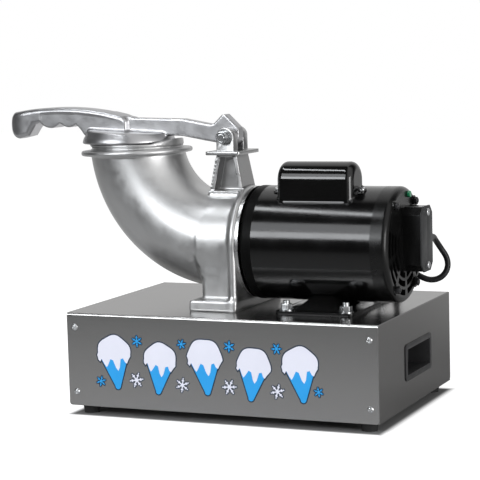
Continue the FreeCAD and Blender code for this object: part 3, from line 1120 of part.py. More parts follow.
save("front_bearing", bearing(FRONT_SEAT))
save("rear_bearing", bearing(REAR_SEAT))
save("tie_bolts", tie_bolts())
save("motor_foot", motor_foot())
save("motor_mount_bolts", motor_mount_bolts())
save("motor_mount_nuts", motor_mount_nuts())
save("motor_mount_washers", motor_mount_washers())
save("start_capacitor", start_capacitor())
save("capacitor_cover", capacitor_cover())
save("capacitor_screws", capacitor_screws())
save("start_switch", start_switch())
save("terminal_box", terminal_box())
save("terminal_cover", terminal_cover())
save("terminal_screws", terminal_screws())
save("ground_screw", ground_screw())
save("lead_gland", lead_gland())
save("deck_grip", deck_grip())
save("motor_lead", motor_lead())
save("motor_shaft", motor_shaft())
save("rotor_core", rotor_core())
save("cooling_fan", cooling_fan())
save("switch_governor", switch_governor())
save("cutter_disc", cutter_disc())
save("cutter_knives", cutter_knives())
save("knife_screws", knife_screws())
save("cutter_nut", cutter_nut())
save("power_switch", power_switch())
save("switch_rocker", switch_rocker())
save("mains_gland", mains_gland())


def bottom_middle():
    """The middle of all the pieces' box in plan. The free lead isn't counted."""
    boxes = [shape.optimalBoundingBox(False) for name, shape in PIECES.items() if name != "motor_lead"]
    x0, x1 = min(b.XMin for b in boxes), max(b.XMax for b in boxes)
    y0, y1 = min(b.YMin for b in boxes), max(b.YMax for b in boxes)
    print(f"box x {x0:.3f} to {x1:.3f}, y {y0:.3f} to {y1:.3f}")
    return V((x0 + x1) / 2, (y0 + y1) / 2, 0)


ORIGIN = bottom_middle()
print(f"cabinet's centre from the origin: {-ORIGIN.x:.4f}, {-ORIGIN.y:.4f}")
for name, shape in PIECES.items():
    shape.translate(ORIGIN * -1)
    shape.exportStep(f"parts/{name}.step")
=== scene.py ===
"""Dresses the packed ice shaver: finishes, refined castings and fasteners, decal, lead, lights, floor and camera.

Everything is in metres in the part's own frame. Shapes are written in millimetres from the cabinet's
centre, with z up from the floor, and at() or build() puts them in the frame.
"""
import json
import math

import bmesh
import bpy
import numpy as np
from mathutils import Matrix, Vector


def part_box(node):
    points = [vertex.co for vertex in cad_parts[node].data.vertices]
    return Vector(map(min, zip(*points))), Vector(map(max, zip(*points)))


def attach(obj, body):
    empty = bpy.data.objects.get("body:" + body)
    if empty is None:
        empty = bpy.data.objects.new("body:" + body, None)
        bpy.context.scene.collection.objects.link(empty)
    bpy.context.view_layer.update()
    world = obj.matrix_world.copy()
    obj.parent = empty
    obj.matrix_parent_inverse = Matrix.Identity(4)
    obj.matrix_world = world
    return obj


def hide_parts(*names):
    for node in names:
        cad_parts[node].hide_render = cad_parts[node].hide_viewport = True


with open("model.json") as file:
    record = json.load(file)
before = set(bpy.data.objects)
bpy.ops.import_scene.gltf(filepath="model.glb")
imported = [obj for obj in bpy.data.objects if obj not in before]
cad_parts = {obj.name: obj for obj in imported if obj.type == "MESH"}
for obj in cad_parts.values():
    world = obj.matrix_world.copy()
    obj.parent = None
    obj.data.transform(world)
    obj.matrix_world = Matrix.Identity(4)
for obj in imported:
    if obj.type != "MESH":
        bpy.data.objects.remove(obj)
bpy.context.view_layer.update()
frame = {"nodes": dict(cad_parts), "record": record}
NODES = frame["nodes"]
SLOT_OF = {row["node"]: row["material_slot"] for row in frame["record"]["subparts"]}
BODY_OF = {node: body for body, nodes in frame["record"]["behaviour"]["bodies"].items() for node in nodes}
WRAP_LOW, WRAP_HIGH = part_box("base_wrap")
CABINET = Vector(((WRAP_LOW.x + WRAP_HIGH.x) / 2, (WRAP_LOW.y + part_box("rear_panel")[1].y) / 2, 0))
AXIS_Y, AXIS_Z, MOTOR_R = -20.0, 207.0, 70.5    # the line of shaft, motor and cutter chamber, and the motor's shell
DECK, FACE_Y = 128.0, -139.7                    # the cabinet's top and its front face


def mm(*values):
    """Millimetres to metres: a number, or a Vector of several."""
    return values[0] / 1000 if len(values) == 1 else Vector(values) / 1000


def at(x, y, z):
    """A place in millimetres from the cabinet's centre, in the frame."""
    return CABINET + mm(x, y, z)


# ---------------------------------------------------------------- camera
CAMERA_PLACE = (862.3, -2013.1, 455.7)
CAMERA_AZIMUTH, CAMERA_ELEVATION, CAMERA_ROLL = 23.85, 6.48, -1.58
FOCAL_PX, FRAME_PX = 1751.59, 480
SENSOR, FAR_CLIP = 36.0, 50


def make_camera():
    """The camera of the reference view: its place, its three angles and its focal length."""
    azimuth, elevation, roll = map(math.radians, (CAMERA_AZIMUTH, CAMERA_ELEVATION, CAMERA_ROLL))
    back = Vector((math.sin(azimuth) * math.cos(elevation), -math.cos(azimuth) * math.cos(elevation),
                   math.sin(elevation)))
    right = (-back).cross(Vector((0, 0, 1))).normalized()
    up = back.cross(right)
    right_rolled = math.cos(roll) * right + math.sin(roll) * up
    up_rolled = math.cos(roll) * up - math.sin(roll) * right
    data = bpy.data.cameras.new("camera")
    data.sensor_width = SENSOR
    data.lens = SENSOR * FOCAL_PX / FRAME_PX
    data.clip_end = FAR_CLIP
    camera = bpy.data.objects.new("camera", data)
    turn = Matrix((right_rolled, up_rolled, back)).transposed().to_4x4()
    camera.matrix_world = Matrix.Translation(at(*CAMERA_PLACE)) @ turn
    bpy.context.scene.collection.objects.link(camera)
    bpy.context.scene.camera = camera


# ---------------------------------------------------------------- node helpers
def put(tree, kind, inputs=None, **settings):
    """A new shader node: settings are its properties, inputs are values or the sockets that feed it."""
    made = tree.nodes.new(kind)
    for name, value in settings.items():
        setattr(made, name, value)
    for key, value in (inputs or {}).items():
        if isinstance(value, bpy.types.NodeSocket):
            tree.links.new(value, made.inputs[key])
        else:
            made.inputs[key].default_value = value
    return made


def grey(value):
    """An opaque grey."""
    return (value, value, value, 1.0)


# ---------------------------------------------------------------- world, lamps and floor
ROOM, BEHIND, RIGHT = 0.04, 0.92, 0.85              # how white mirrors see the room, the backdrop and the card
BEHIND_WAY, BEHIND_EDGE = (-0.33, 0.944), (0.47, 0.95)
RIGHT_WAY, RIGHT_EDGE = (0.94, -0.34), (0.5, 0.95)
PLAIN = 0.42                                        # the even light on matt surfaces
FLOOR_REACH, FLOOR_GLOW = 6.0, 0.7
FLOOR_PAINTED_SHADE, FLOOR_OPEN = 0.25, 0.8                 # the floor's grey: painted shade under the cabinet, and its own pale grey beside it
MIRROR_NEAR, MIRROR_FAR = (-1.3, 0.03), (-0.15, 0.5)    # Y and grey: the floor in mirrors, in front of the cabinet
CARD_START, CARD_END = 0.5, 1.1                     # X where the floor starts to mirror the card, and does in full
EDGE_IN, EDGE_OUT = -0.004, 0.008                   # the soft edge of the painted shade under the cabinet
COOL = (0.95, 0.975, 1.0)


def toward(tree, x, y, way, start, end):
    """How far a flat direction points one way: 0 to 1, softly, between two cosines."""
    aim = put(tree, "ShaderNodeCombineXYZ", {0: x, 1: y})
    unit = put(tree, "ShaderNodeVectorMath", {0: aim.outputs[0]}, operation="NORMALIZE")
    share = put(tree, "ShaderNodeVectorMath", {0: unit.outputs[0], 1: (*way, 0)}, operation="DOT_PRODUCT")
    return put(tree, "ShaderNodeMapRange", {0: share.outputs["Value"], 1: start, 2: end},
               interpolation_type="SMOOTHSTEP").outputs[0]


def sums(tree, first, *steps):
    """A running sum or product: each step is an operation and what it takes in."""
    for operation, value in steps:
        first = put(tree, "ShaderNodeMath", {0: first, 1: value}, operation=operation).outputs[0]
    return first


def studio_white(tree, x, y, card=RIGHT):
    """How white a mirror sees the studio along a flat direction: the backdrop, and a card at the right."""
    behind = toward(tree, x, y, BEHIND_WAY, *BEHIND_EDGE)
    right = sums(tree, toward(tree, x, y, RIGHT_WAY, *RIGHT_EDGE), ("MULTIPLY", card))
    return sums(tree, behind, ("MULTIPLY", BEHIND), ("ADD", right), ("ADD", ROOM))


def mirrored(tree, rays):
    """1 for a ray that left a glossy or clear surface."""
    return sums(tree, rays["Is Glossy Ray"], ("MAXIMUM", rays["Is Transmission Ray"]))


def make_world():
    """Plain light all round; mirrors see the studio, and the camera sees plain white."""
    world = bpy.data.worlds.new("studio")
    world.use_nodes = True
    tree = world.node_tree
    tree.nodes.clear()
    way = put(tree, "ShaderNodeTexCoord").outputs["Generated"]
    parts = put(tree, "ShaderNodeSeparateXYZ", {0: way}).outputs
    rays = put(tree, "ShaderNodeLightPath").outputs
    plain = put(tree, "ShaderNodeBackground", {0: grey(PLAIN), 1: 1.0})
    studio = put(tree, "ShaderNodeBackground", {0: grey(1.0), 1: studio_white(tree, parts["X"], parts["Y"])})
    white = put(tree, "ShaderNodeBackground", {0: grey(1.0), 1: 1.0})
    seen = plain
    for share, other in ((mirrored(tree, rays), studio), (rays["Is Camera Ray"], white)):
        seen = put(tree, "ShaderNodeMixShader", {0: share, 1: seen.outputs[0], 2: other.outputs[0]})
    put(tree, "ShaderNodeOutputWorld", {0: seen.outputs[0]})
    bpy.context.scene.world = world


def make_lamp(name, place, target, size, power, colour=(1, 1, 1)):
    """A soft box: a rectangular lamp at a place, turned to a target."""
    data = bpy.data.lights.new(name, "AREA")
    data.shape = "RECTANGLE"
    data.size, data.size_y = size
    data.energy = power
    data.color = colour
    lamp = bpy.data.objects.new(name, data)
    lamp.location = place
    lamp.rotation_euler = (Vector(target) - Vector(place)).to_track_quat("-Z", "Y").to_euler()
    bpy.context.scene.collection.objects.link(lamp)


def make_lamps():
    """Two boxes and a strip in front, which make the motor's bands, and a box at the right for the hopper."""
    motor, head = at(100, AXIS_Y, AXIS_Z), at(-140, AXIS_Y, 260)
    make_lamp("front_box", at(-746, -1920, 923), motor, (1.4, 0.42), 17, COOL)
    make_lamp("front_box_upper", at(-650, -1705, 1405), motor, (1.4, 0.6), 9, COOL)
    make_lamp("top_strip", at(-508, -468, 1615), motor, (1.0, 0.11), 4, COOL)
    make_lamp("right_box", at(1550, -640, 420), head, (0.7, 0.7), 10)


def make_floor():
    """A pale floor that keeps the object's shadow, white to the camera and, behind, to mirrors; under the cabinet
    its grey is painted shade.
    """
    mesh = bpy.data.meshes.new("floor")
    corners = [(-FLOOR_REACH, -FLOOR_REACH, 0), (FLOOR_REACH, -FLOOR_REACH, 0),
               (FLOOR_REACH, FLOOR_REACH, 0), (-FLOOR_REACH, FLOOR_REACH, 0)]
    mesh.from_pydata(corners, [], [(0, 1, 2, 3)])
    floor = bpy.data.objects.new("floor", mesh)
    bpy.context.scene.collection.objects.link(floor)
    material = bpy.data.materials.new("floor")
    material.use_nodes = True
    tree = material.node_tree
    tree.nodes.clear()
    place = put(tree, "ShaderNodeSeparateXYZ", {0: put(tree, "ShaderNodeTexCoord").outputs["Object"]}).outputs
    rays = put(tree, "ShaderNodeLightPath").outputs
    mirror = mirrored(tree, rays)
    (near, near_grey), (far, far_grey) = MIRROR_NEAR, MIRROR_FAR
    in_mirrors = put(tree, "ShaderNodeMapRange",
                     {0: place["Y"], 1: near, 2: far, 3: near_grey, 4: far_grey}).outputs[0]
    card = put(tree, "ShaderNodeMapRange", {0: place["X"], 1: CARD_START, 2: CARD_END, 4: RIGHT}).outputs[0]
    studio = sums(tree, studio_white(tree, place["X"], place["Y"], card), ("MULTIPLY", mirror))
    half = (WRAP_HIGH - WRAP_LOW) / 2
    past_x, past_y = (sums(tree, place[axis], ("SUBTRACT", middle), ("ABSOLUTE", 0.0), ("SUBTRACT", reach))
                      for axis, middle, reach in (("X", CABINET.x, half.x), ("Y", CABINET.y, half.y)))
    # 0 under the cabinet and 1 beside it: where the floor is painted dark as painted shade
    clear = put(tree, "ShaderNodeMapRange",
                {0: sums(tree, past_x, ("MAXIMUM", past_y)), 1: EDGE_IN, 2: EDGE_OUT},
                interpolation_type="SMOOTHSTEP").outputs[0]
    # the floor's grey: painted shade under the cabinet, pale beside it
    own = put(tree, "ShaderNodeMapRange", {0: clear, 3: FLOOR_PAINTED_SHADE, 4: FLOOR_OPEN}).outputs[0]
    shade = put(tree, "ShaderNodeMix", {0: mirror, 2: own, 3: in_mirrors}).outputs[0]
    colour = put(tree, "ShaderNodeCombineColor", {0: shade, 1: shade, 2: shade}).outputs[0]
    matt = put(tree, "ShaderNodeBsdfDiffuse", {0: colour})
    # no glow under the cabinet, so the painted shade shows there
    strength = sums(tree, rays["Is Camera Ray"], ("MAXIMUM", studio), ("MULTIPLY", clear),
                    ("MULTIPLY", FLOOR_GLOW))
    glow = put(tree, "ShaderNodeEmission", {0: grey(1.0), 1: strength})
    both = put(tree, "ShaderNodeAddShader", {0: matt.outputs[0], 1: glow.outputs[0]})
    put(tree, "ShaderNodeOutputMaterial", {0: both.outputs[0]})
    mesh.materials.append(material)


# ---------------------------------------------------------------- finishes
COAT_ROUGHNESS = 0.04
CLOUD_LOW, CLOUD_HIGH = 0.3, 0.7                    # the noise's values that give the least and most roughness


def finish(slot, colour, metallic=0.0, roughness=0.4, rough_span=0.08, tint_span=0.12, grain=(40, 40, 40),
           relief=0.03, relief_grain=(300, 300, 300), coat=0.0, specular=0.5, edge=1.0):
    """A procedural finish: a noise that varies tint and roughness, and a finer one that gives relief in mm."""
    material = bpy.data.materials.new(slot)
    material.use_nodes = True
    tree = material.node_tree
    shader = tree.nodes["Principled BSDF"]
    place = put(tree, "ShaderNodeTexCoord").outputs["Object"]
    broad = put(tree, "ShaderNodeMapping", {0: place, 3: grain}, vector_type="POINT")
    cloud = put(tree, "ShaderNodeTexNoise",
                {0: broad.outputs[0], "Scale": 1.0, "Detail": 5.0, "Roughness": 0.6})
    dark = tuple(c * (1 - tint_span) for c in colour) + (1.0,)
    light = tuple(min(1.0, c * (1 + tint_span)) for c in colour) + (1.0,)
    tint = put(tree, "ShaderNodeMix", {0: cloud.outputs[0], 6: dark, 7: light}, data_type="RGBA")
    tree.links.new(tint.outputs[2], shader.inputs["Base Color"])
    rough = put(tree, "ShaderNodeMapRange",
                {0: cloud.outputs[0], 1: CLOUD_LOW, 2: CLOUD_HIGH,
                 3: roughness - rough_span, 4: roughness + rough_span})
    tree.links.new(rough.outputs[0], shader.inputs["Roughness"])
    fine = put(tree, "ShaderNodeMapping", {0: place, 3: relief_grain}, vector_type="POINT")
    grit = put(tree, "ShaderNodeTexNoise", {0: fine.outputs[0], "Scale": 1.0, "Detail": 3.0})
    bump = put(tree, "ShaderNodeBump", {"Strength": 1.0, "Distance": mm(relief), "Height": grit.outputs[0]})
    tree.links.new(bump.outputs[0], shader.inputs["Normal"])
    for socket, value in (("Metallic", metallic), ("Coat Weight", coat), ("Coat Roughness", COAT_ROUGHNESS),
                          ("Specular IOR Level", specular), ("Specular Tint", grey(edge))):
        shader.inputs[socket].default_value = value
    return material


def make_finishes():
    """All finishes by name: most are a CAD slot's own, the rest belong to one node or to the decal."""
    brushed = dict(metallic=1.0, roughness=0.23, rough_span=0.04, tint_span=0.05, relief=0.006, edge=0.6)
    cast = dict(metallic=1.0, edge=0.75, tint_span=0.1, grain=(60, 60, 60), relief_grain=(380, 380, 380))
    gloss = dict(rough_span=0.03, relief=0.02, relief_grain=(220, 220, 220))
    vinyl = dict(roughness=0.4, tint_span=0.04, relief=0.01)
    rows = {
        "stainless_sheet": dict(colour=(0.46, 0.455, 0.45), grain=(4, 900, 900),
                                relief_grain=(12, 1500, 1500), **brushed),
        # the side panels' copy of the sheet, darker than on the front and deck: painted shade
        "stainless_side_painted_shade": dict(colour=(0.36, 0.355, 0.35), grain=(900, 4, 900),
                               relief_grain=(1500, 12, 1500), **brushed),
        "stainless_bar": dict(colour=(0.5, 0.5, 0.5), metallic=1.0, roughness=0.25),
        "knife_steel": dict(colour=(0.62, 0.62, 0.62), metallic=1.0, roughness=0.2),
        "cast_aluminium": dict(colour=(0.58, 0.58, 0.58), roughness=0.4, rough_span=0.07, relief=0.035, **cast),
        "lever_aluminium": dict(colour=(0.5, 0.5, 0.51), roughness=0.35, rough_span=0.05, relief=0.025, **cast),
        "post_aluminium": dict(colour=(0.5, 0.5, 0.5), roughness=0.32, rough_span=0.05, relief=0.05, **cast),
        "zinc_fasteners": dict(colour=(0.62, 0.63, 0.64), metallic=1.0, roughness=0.27),
        "motor_enamel": dict(colour=(0.002, 0.002, 0.002), roughness=0.14, specular=0.5, **gloss),
        "cover_enamel": dict(colour=(0.003, 0.003, 0.003), roughness=0.09, specular=0.6, **gloss),
        "bell_enamel": dict(colour=(0.004, 0.004, 0.004), roughness=0.24, rough_span=0.05, relief=0.02,
                            relief_grain=(500, 500, 500), specular=0.3),
        "drive_bell_enamel": dict(colour=(0.003, 0.003, 0.003), roughness=0.4, specular=0.05),
        "terminal_plate": dict(colour=(0.028, 0.029, 0.03), roughness=0.5, specular=0.3),
        "tie_bolt_steel": dict(colour=(0.03, 0.03, 0.032), metallic=0.6, roughness=0.35),
        "electrical_steel": dict(colour=(0.32, 0.32, 0.33), metallic=1.0, roughness=0.4,
                                 grain=(1600, 20, 20), relief_grain=(1800, 5, 5)),
        "copper_winding": dict(colour=(0.55, 0.2, 0.09), metallic=0.9, roughness=0.35,
                               relief=0.2, relief_grain=(500, 500, 500)),
        "bearing_steel": dict(colour=(0.6, 0.6, 0.61), metallic=1.0, roughness=0.18),
        "phenolic": dict(colour=(0.07, 0.03, 0.015), roughness=0.5),
        "green_screw": dict(colour=(0.01, 0.24, 0.1), roughness=0.35, coat=0.5),
        "black_rubber": dict(colour=(0.012, 0.012, 0.012), roughness=0.7, relief=0.05),
        "cord_jacket": dict(colour=(0.008, 0.008, 0.009), roughness=0.42, specular=0.3),
        "black_plastic": dict(colour=(0.015, 0.015, 0.016), roughness=0.45, relief=0.04,
                              relief_grain=(900, 900, 900)),
        "rocker_red": dict(colour=(0.5, 0.02, 0.015), roughness=0.3),
        "vinyl_navy": dict(colour=(0.004, 0.02, 0.05), **vinyl),
        "vinyl_blue": dict(colour=(0.013, 0.33, 0.77), **vinyl),
        "vinyl_white": dict(colour=(0.73, 0.74, 0.84), **vinyl),
    }
    return {name: finish(name, **row) for name, row in rows.items()}


FINISHES = make_finishes()
# the side panels take the darker copy of the sheet, which is painted shade
OWN_FINISH = {"side_panel_left": "stainless_side_painted_shade", "side_panel_right": "stainless_side_painted_shade",
              "lever_post": "post_aluminium", "lever_clevis": "post_aluminium",
              "pusher_lever": "lever_aluminium", "capacitor_cover": "cover_enamel",
              "drive_end_bell": "drive_bell_enamel", "rear_end_bell": "bell_enamel",
              "motor_foot": "bell_enamel", "terminal_box": "bell_enamel"}


def finish_of(node):
    """A node's own finish, or else its slot's."""
    return FINISHES[OWN_FINISH.get(node, SLOT_OF[node])]


def dress_cad():
    """Every CAD node takes its finish."""
    for name, node in NODES.items():
        if not node.material_slots:
            node.data.materials.append(None)
        for place in node.material_slots:
            place.material = finish_of(name)


# ---------------------------------------------------------------- fields: signed distances in mm
# The last number given to meet, join, block and disc is the radius that rounds an edge or fills a corner.
def length(*parts):
    """The length of a vector from its parts."""
    return np.sqrt(sum(part * part for part in parts))


def meet(a, b, r=0.0):
    """Where both solids are, with the edge between them rounded."""
    if np.isscalar(r) and not r:
        return np.maximum(a, b)
    return np.minimum(np.maximum(a, b), -r) + length(np.maximum(a + r, 0), np.maximum(b + r, 0))


def join(a, b, r=0.0):
    """Where either solid is, with the corner between them filled."""
    return -meet(-a, -b, r)


def block(x, y, z, low, high, r=0.0):
    """A box between two corners, rounded all round."""
    qx, qy, qz = (np.abs(v - (a + b) / 2) - (b - a) / 2 + r for v, a, b in zip((x, y, z), low, high))
    outside = length(np.maximum(qx, 0), np.maximum(qy, 0), np.maximum(qz, 0))
    return outside + np.minimum(np.maximum(np.maximum(qx, qy), qz), 0) - r


def disc(along, around, half, radius, r=0.0):
    """A cylinder from its distance along its axis from its middle, and around it."""
    return meet(np.abs(along) - half, around - radius, r)


def outline(u, w, points):
    """Signed distance to a closed outline in a plane."""
    u, w = np.broadcast_arrays(u, w)
    best, inside = np.full(u.shape, 1e9), np.zeros(u.shape, bool)
    for (u0, w0), (u1, w1) in zip(points, points[1:] + points[:1]):
        du, dw = u1 - u0, w1 - w0
        size = du * du + dw * dw
        if size < 1e-9:
            continue
        share = np.clip(((u - u0) * du + (w - w0) * dw) / size, 0, 1)
        best = np.minimum(best, (u - u0 - share * du) ** 2 + (w - w0 - share * dw) ** 2)
        if dw:
            inside ^= ((w0 > w) != (w1 > w)) & (u < u0 + (w - w0) * du / dw)
    return np.where(inside, -1, 1) * np.sqrt(best)


def flowing(points, count):
    """A smooth line through points: Catmull-Rom, open."""
    ends = [2 * np.array(points[0]) - points[1]] + [np.array(p, float) for p in points]
    ends.append(2 * np.array(points[-1]) - points[-2])
    made = []
    for a, b, c, d in zip(ends, ends[1:], ends[2:], ends[3:]):
        for t in np.arange(count) / count:
            made.append(tuple(0.5 * (2 * b + (c - a) * t + (2 * a - 5 * b + 4 * c - d) * t ** 2
                                     + (3 * b - a - 3 * c + d) * t ** 3)))
    return made + [tuple(points[-1])]


def arc(centre, radius, start, end, count):
    """Points of an arc, between two angles in degrees."""
    angles = np.radians(np.linspace(start, end, count))
    return [(centre[0] + radius * math.cos(a), centre[1] + radius * math.sin(a)) for a in angles]


DRAWS, PROBE, LEAST_SLOPE = 2, 0.05, 0.3            # how a skin's points are drawn onto the surface


def skin(field, low, high, step):
    """Points and quads of the surface where a field is zero, by surface nets, drawn onto the surface."""
    axes = [np.arange(a, b + step, step) for a, b in zip(low, high)]
    grid = np.meshgrid(*axes, indexing="ij", sparse=True)
    value = np.broadcast_to(field(*grid), [len(axis) for axis in axes])
    inside = value < 0
    cells = [n - 1 for n in inside.shape]
    corners = [(i, j, k) for i in (0, 1) for j in (0, 1) for k in (0, 1)]
    filled = sum(inside[i:i + cells[0], j:j + cells[1], k:k + cells[2]].astype(np.int8) for i, j, k in corners)
    active = (filled > 0) & (filled < 8)
    where = np.argwhere(active)
    number = np.full(cells, -1)
    number[active] = np.arange(len(where))
    total, met = np.zeros((len(where), 3)), np.zeros((len(where), 1))
    for a in corners:
        for b in corners:
            if sum(b) - sum(a) != 1 or any(q < p for p, q in zip(a, b)):
                continue
            here, there = value[tuple((where + a).T)], value[tuple((where + b).T)]
            cross = (here < 0) != (there < 0)
            share = here / np.where(cross, here - there, 1)
            total += np.where(cross[:, None], where + a + share[:, None] * np.subtract(b, a), 0)
            met += cross[:, None]
    places = np.array(low) + step * total / met
    quads = []
    for axis in range(3):
        e, f = (axis + 1) % 3, (axis + 2) % 3
        lower, upper = [slice(None)] * 3, [slice(None)] * 3
        lower[axis], upper[axis] = slice(0, -1), slice(1, None)
        first = inside[tuple(lower)]
        edges = np.argwhere(first != inside[tuple(upper)])
        for across in (e, f):
            edges = edges[(edges[:, across] > 0) & (edges[:, across] < cells[across])]
        ring = []
        for de, df in ((0, 0), (-1, 0), (-1, -1), (0, -1)):
            cell = edges.copy()
            cell[:, e] += de
            cell[:, f] += df
            ring.append(number[tuple(cell.T)])
        ring = np.stack(ring, 1)
        facing_back = ~first[tuple(edges.T)]
        ring[facing_back] = ring[facing_back][:, ::-1]
        quads.append(ring)
    for _ in range(DRAWS):
        x, y, z = places.T
        h = PROBE
        slope = np.stack([field(x + h, y, z) - field(x - h, y, z), field(x, y + h, z) - field(x, y - h, z),
                          field(x, y, z + h) - field(x, y, z - h)], 1) / (2 * h)
        size = np.maximum((slope ** 2).sum(1), LEAST_SLOPE)
        places -= np.clip(field(x, y, z) / size, -step / 2, step / 2)[:, None] * slope
    return places, np.concatenate(quads)


def build(name, points, faces, finishes):
    """A piece from points in mm: a mesh with its finishes."""
    mesh = bpy.data.meshes.new(name)
    places = np.asarray(points) / 1000 + np.array(CABINET)
    mesh.from_pydata(places.tolist(), [], [list(map(int, f)) for f in faces])
    for made in finishes:
        mesh.materials.append(made)
    piece = bpy.data.objects.new(name, mesh)
    bpy.context.scene.collection.objects.link(piece)
    return piece


def stand_in(piece, node):
    """The piece takes a CAD node's place, on the node's body."""
    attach(piece, BODY_OF[node])
    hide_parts(node)


def cast(name, node, field, low, high, step):
    """A refined piece in a CAD node's place, from its field."""
    piece = build(name, *skin(field, low, high, step), [finish_of(node)])
    piece.data.shade_smooth()
    stand_in(piece, node)


# ---------------------------------------------------------------- hopper casting
BEND_X, BEND_Z, BEND_R = -29.0, 337.0, 130.0        # the bend's centre, and the radius of its middle line
LEAN, STRAIGHT_X = math.radians(2.5), -50.0         # the mouth's lean, and where the bore ends
HEAD_R, HEAD_BORE_R = 59.5, 52.0
NECK_Z, RISE_X, RISE, RISE_SLANT = 330.6, -120.0, 0.3, 1.04     # the rim, level and then rising to the post
GROOVE_DROP, GROOVE_R = 5.0, 2.4
COLLAR_X, COLLAR_Z, COLLAR_R, COLLAR_HALF = -159.0, 320.0, 71.0, 3.0
COLLAR_TILT = math.radians(1.2)
DRUM_X, DRUM_HALF, DRUM_R = -26.0, 30.0, 60.5
COLUMN_X0, COLUMN_X1, COLUMN_HALF, COLUMN_Z0 = -49.0, -1.0, 57.0, 112.0
FLARE_X, FLARE_Z, FLARE_R = -89.0, 172.0, 40.0      # the sweep that widens the column under the bend
FLARE_X1, FLARE_Z0, FLARE_Z1 = -20.0, 165.0, 213.0
SEAT_X0, SEAT_X1, SEAT_Z, SEAT_HALF = -49.5, -2.0, 270.0, 22.0
FOOT_X0, FOOT_HALF, FOOT_Z = -58.0, 73.0, 141.0
DRAFT, DRAFT_Z, DRAFT_SLANT = 0.12, 130.0, 1.007
HEAD_X1, HEAD_Z0 = 4.0, 118.0                       # the face against the motor, and the chute's end
FLANGE_R, FLANGE_HALF, FLANGE_ROUND = 70.0, 5.0, 4.9
CHAMBER_R, CHAMBER_X, CHAMBER_HALF, THROAT_Z0 = 54.0, 20.0, 70.0, 15.0
CHUTE_X0, CHUTE_X1, CHUTE_HALF, CHUTE_Z0 = -43.0, -9.0, 51.0, 100.0


def bend_around(x, y, z):
    """The distance from the bend's middle line, straight on above its mouth and past its inner end."""
    left, down, dy = BEND_X - x, BEND_Z - z, y - AXIS_Y
    past = left * math.sin(LEAN) - down * math.cos(LEAN)
    out = left * math.cos(LEAN) + down * math.sin(LEAN)
    return np.where(past > 0, length(out - BEND_R, dy),
                    np.where(left < 0, length(down - BEND_R, dy), length(length(left, down) - BEND_R, dy)))


def head_field(x, y, z):
    """The hopper: neck, collar, bend, drum, column and foot in one casting, with its bore and chute."""
    dy, dz = y - AXIS_Y, z - AXIS_Z
    around = bend_around(x, y, z)
    from_axis = length(dy, dz)
    rim_z = NECK_Z + RISE * np.maximum(x - RISE_X, 0)
    body = meet(meet(around - HEAD_R, (z - rim_z) / RISE_SLANT, 1.0), x, 0.5)
    groove = length(z - NECK_Z + GROOVE_DROP, around - HEAD_R - 0.3) - GROOVE_R
    body = meet(body, -groove)
    cx, cz = x - COLLAR_X, z - COLLAR_Z
    along = cz * math.cos(COLLAR_TILT) - cx * math.sin(COLLAR_TILT)
    out = length(cx * math.cos(COLLAR_TILT) + cz * math.sin(COLLAR_TILT), dy)
    body = join(body, disc(along, out, COLLAR_HALF, COLLAR_R, 2.4), 2.5)
    body = np.minimum(body, disc(x - DRUM_X, from_axis, DRUM_HALF, DRUM_R, 5))
    column = block(x, dy, z, (COLUMN_X0, -COLUMN_HALF, COLUMN_Z0), (COLUMN_X1, COLUMN_HALF, AXIS_Z), 8)
    flare = block(x, dy, z, (FLARE_X, -COLUMN_HALF, FLARE_Z0), (FLARE_X1, COLUMN_HALF, FLARE_Z1), 7)
    flare = meet(flare, FLARE_R - length(x - FLARE_X, z - FLARE_Z), 3)
    body = join(body, join(column, flare, 2), 3)
    seat = block(x, dy, z, (SEAT_X0, -SEAT_HALF, SEAT_Z - 15), (SEAT_X1, SEAT_HALF, SEAT_Z), 1.2)
    body = join(body, seat, 4)
    foot = block(x, dy, z, (FOOT_X0, -FOOT_HALF, DECK), (HEAD_X1, FOOT_HALF, FOOT_Z), 2.2)
    sides = np.maximum(FOOT_X0 - x, np.abs(dy) - FOOT_HALF)
    foot = meet(foot, (sides + DRAFT * (z - DRAFT_Z)) / DRAFT_SLANT, 1.5)
    body = join(body, foot, 4)
    flange = np.minimum(disc(x - HEAD_X1 + FLANGE_HALF, from_axis, FLANGE_HALF, FLANGE_R, FLANGE_ROUND),
                        block(x, dy, z, (HEAD_X1 - 2 * FLANGE_HALF, -FLANGE_R, DECK + 1),
                              (HEAD_X1, FLANGE_R, AXIS_Z), FLANGE_ROUND))
    body = join(body, flange, 7)
    throat = meet(meet(around - HEAD_BORE_R, x - STRAIGHT_X), THROAT_Z0 - z)
    rim = meet(around - HEAD_BORE_R - 1 + rim_z - z, rim_z - 4 - z)
    chamber = disc(x - CHAMBER_X, from_axis, CHAMBER_HALF, CHAMBER_R)
    chute = block(x, dy, z, (CHUTE_X0, -CHUTE_HALF, CHUTE_Z0), (CHUTE_X1, CHUTE_HALF, AXIS_Z))
    for hollow in (np.minimum(throat, rim), chamber, chute):
        body = meet(body, -hollow, 0.8)
    return meet(body, HEAD_Z0 - z)


POST_TOP, POST_HALF_X, POST_HALF_Y = 316.5, 22.5, 21.0      # half sizes at its foot
POST_IN_X, POST_IN_Y = 9.0, 2.0                             # how much narrower its top is
WEB_HALF, RIB, RECESS_Z, RECESS_HALF = 3.0, 5.5, 292.5, 21.0
BEAD_R, EDGE_BEAD_R, EDGE_BEAD_TOP = 1.8, 1.1, 312.0


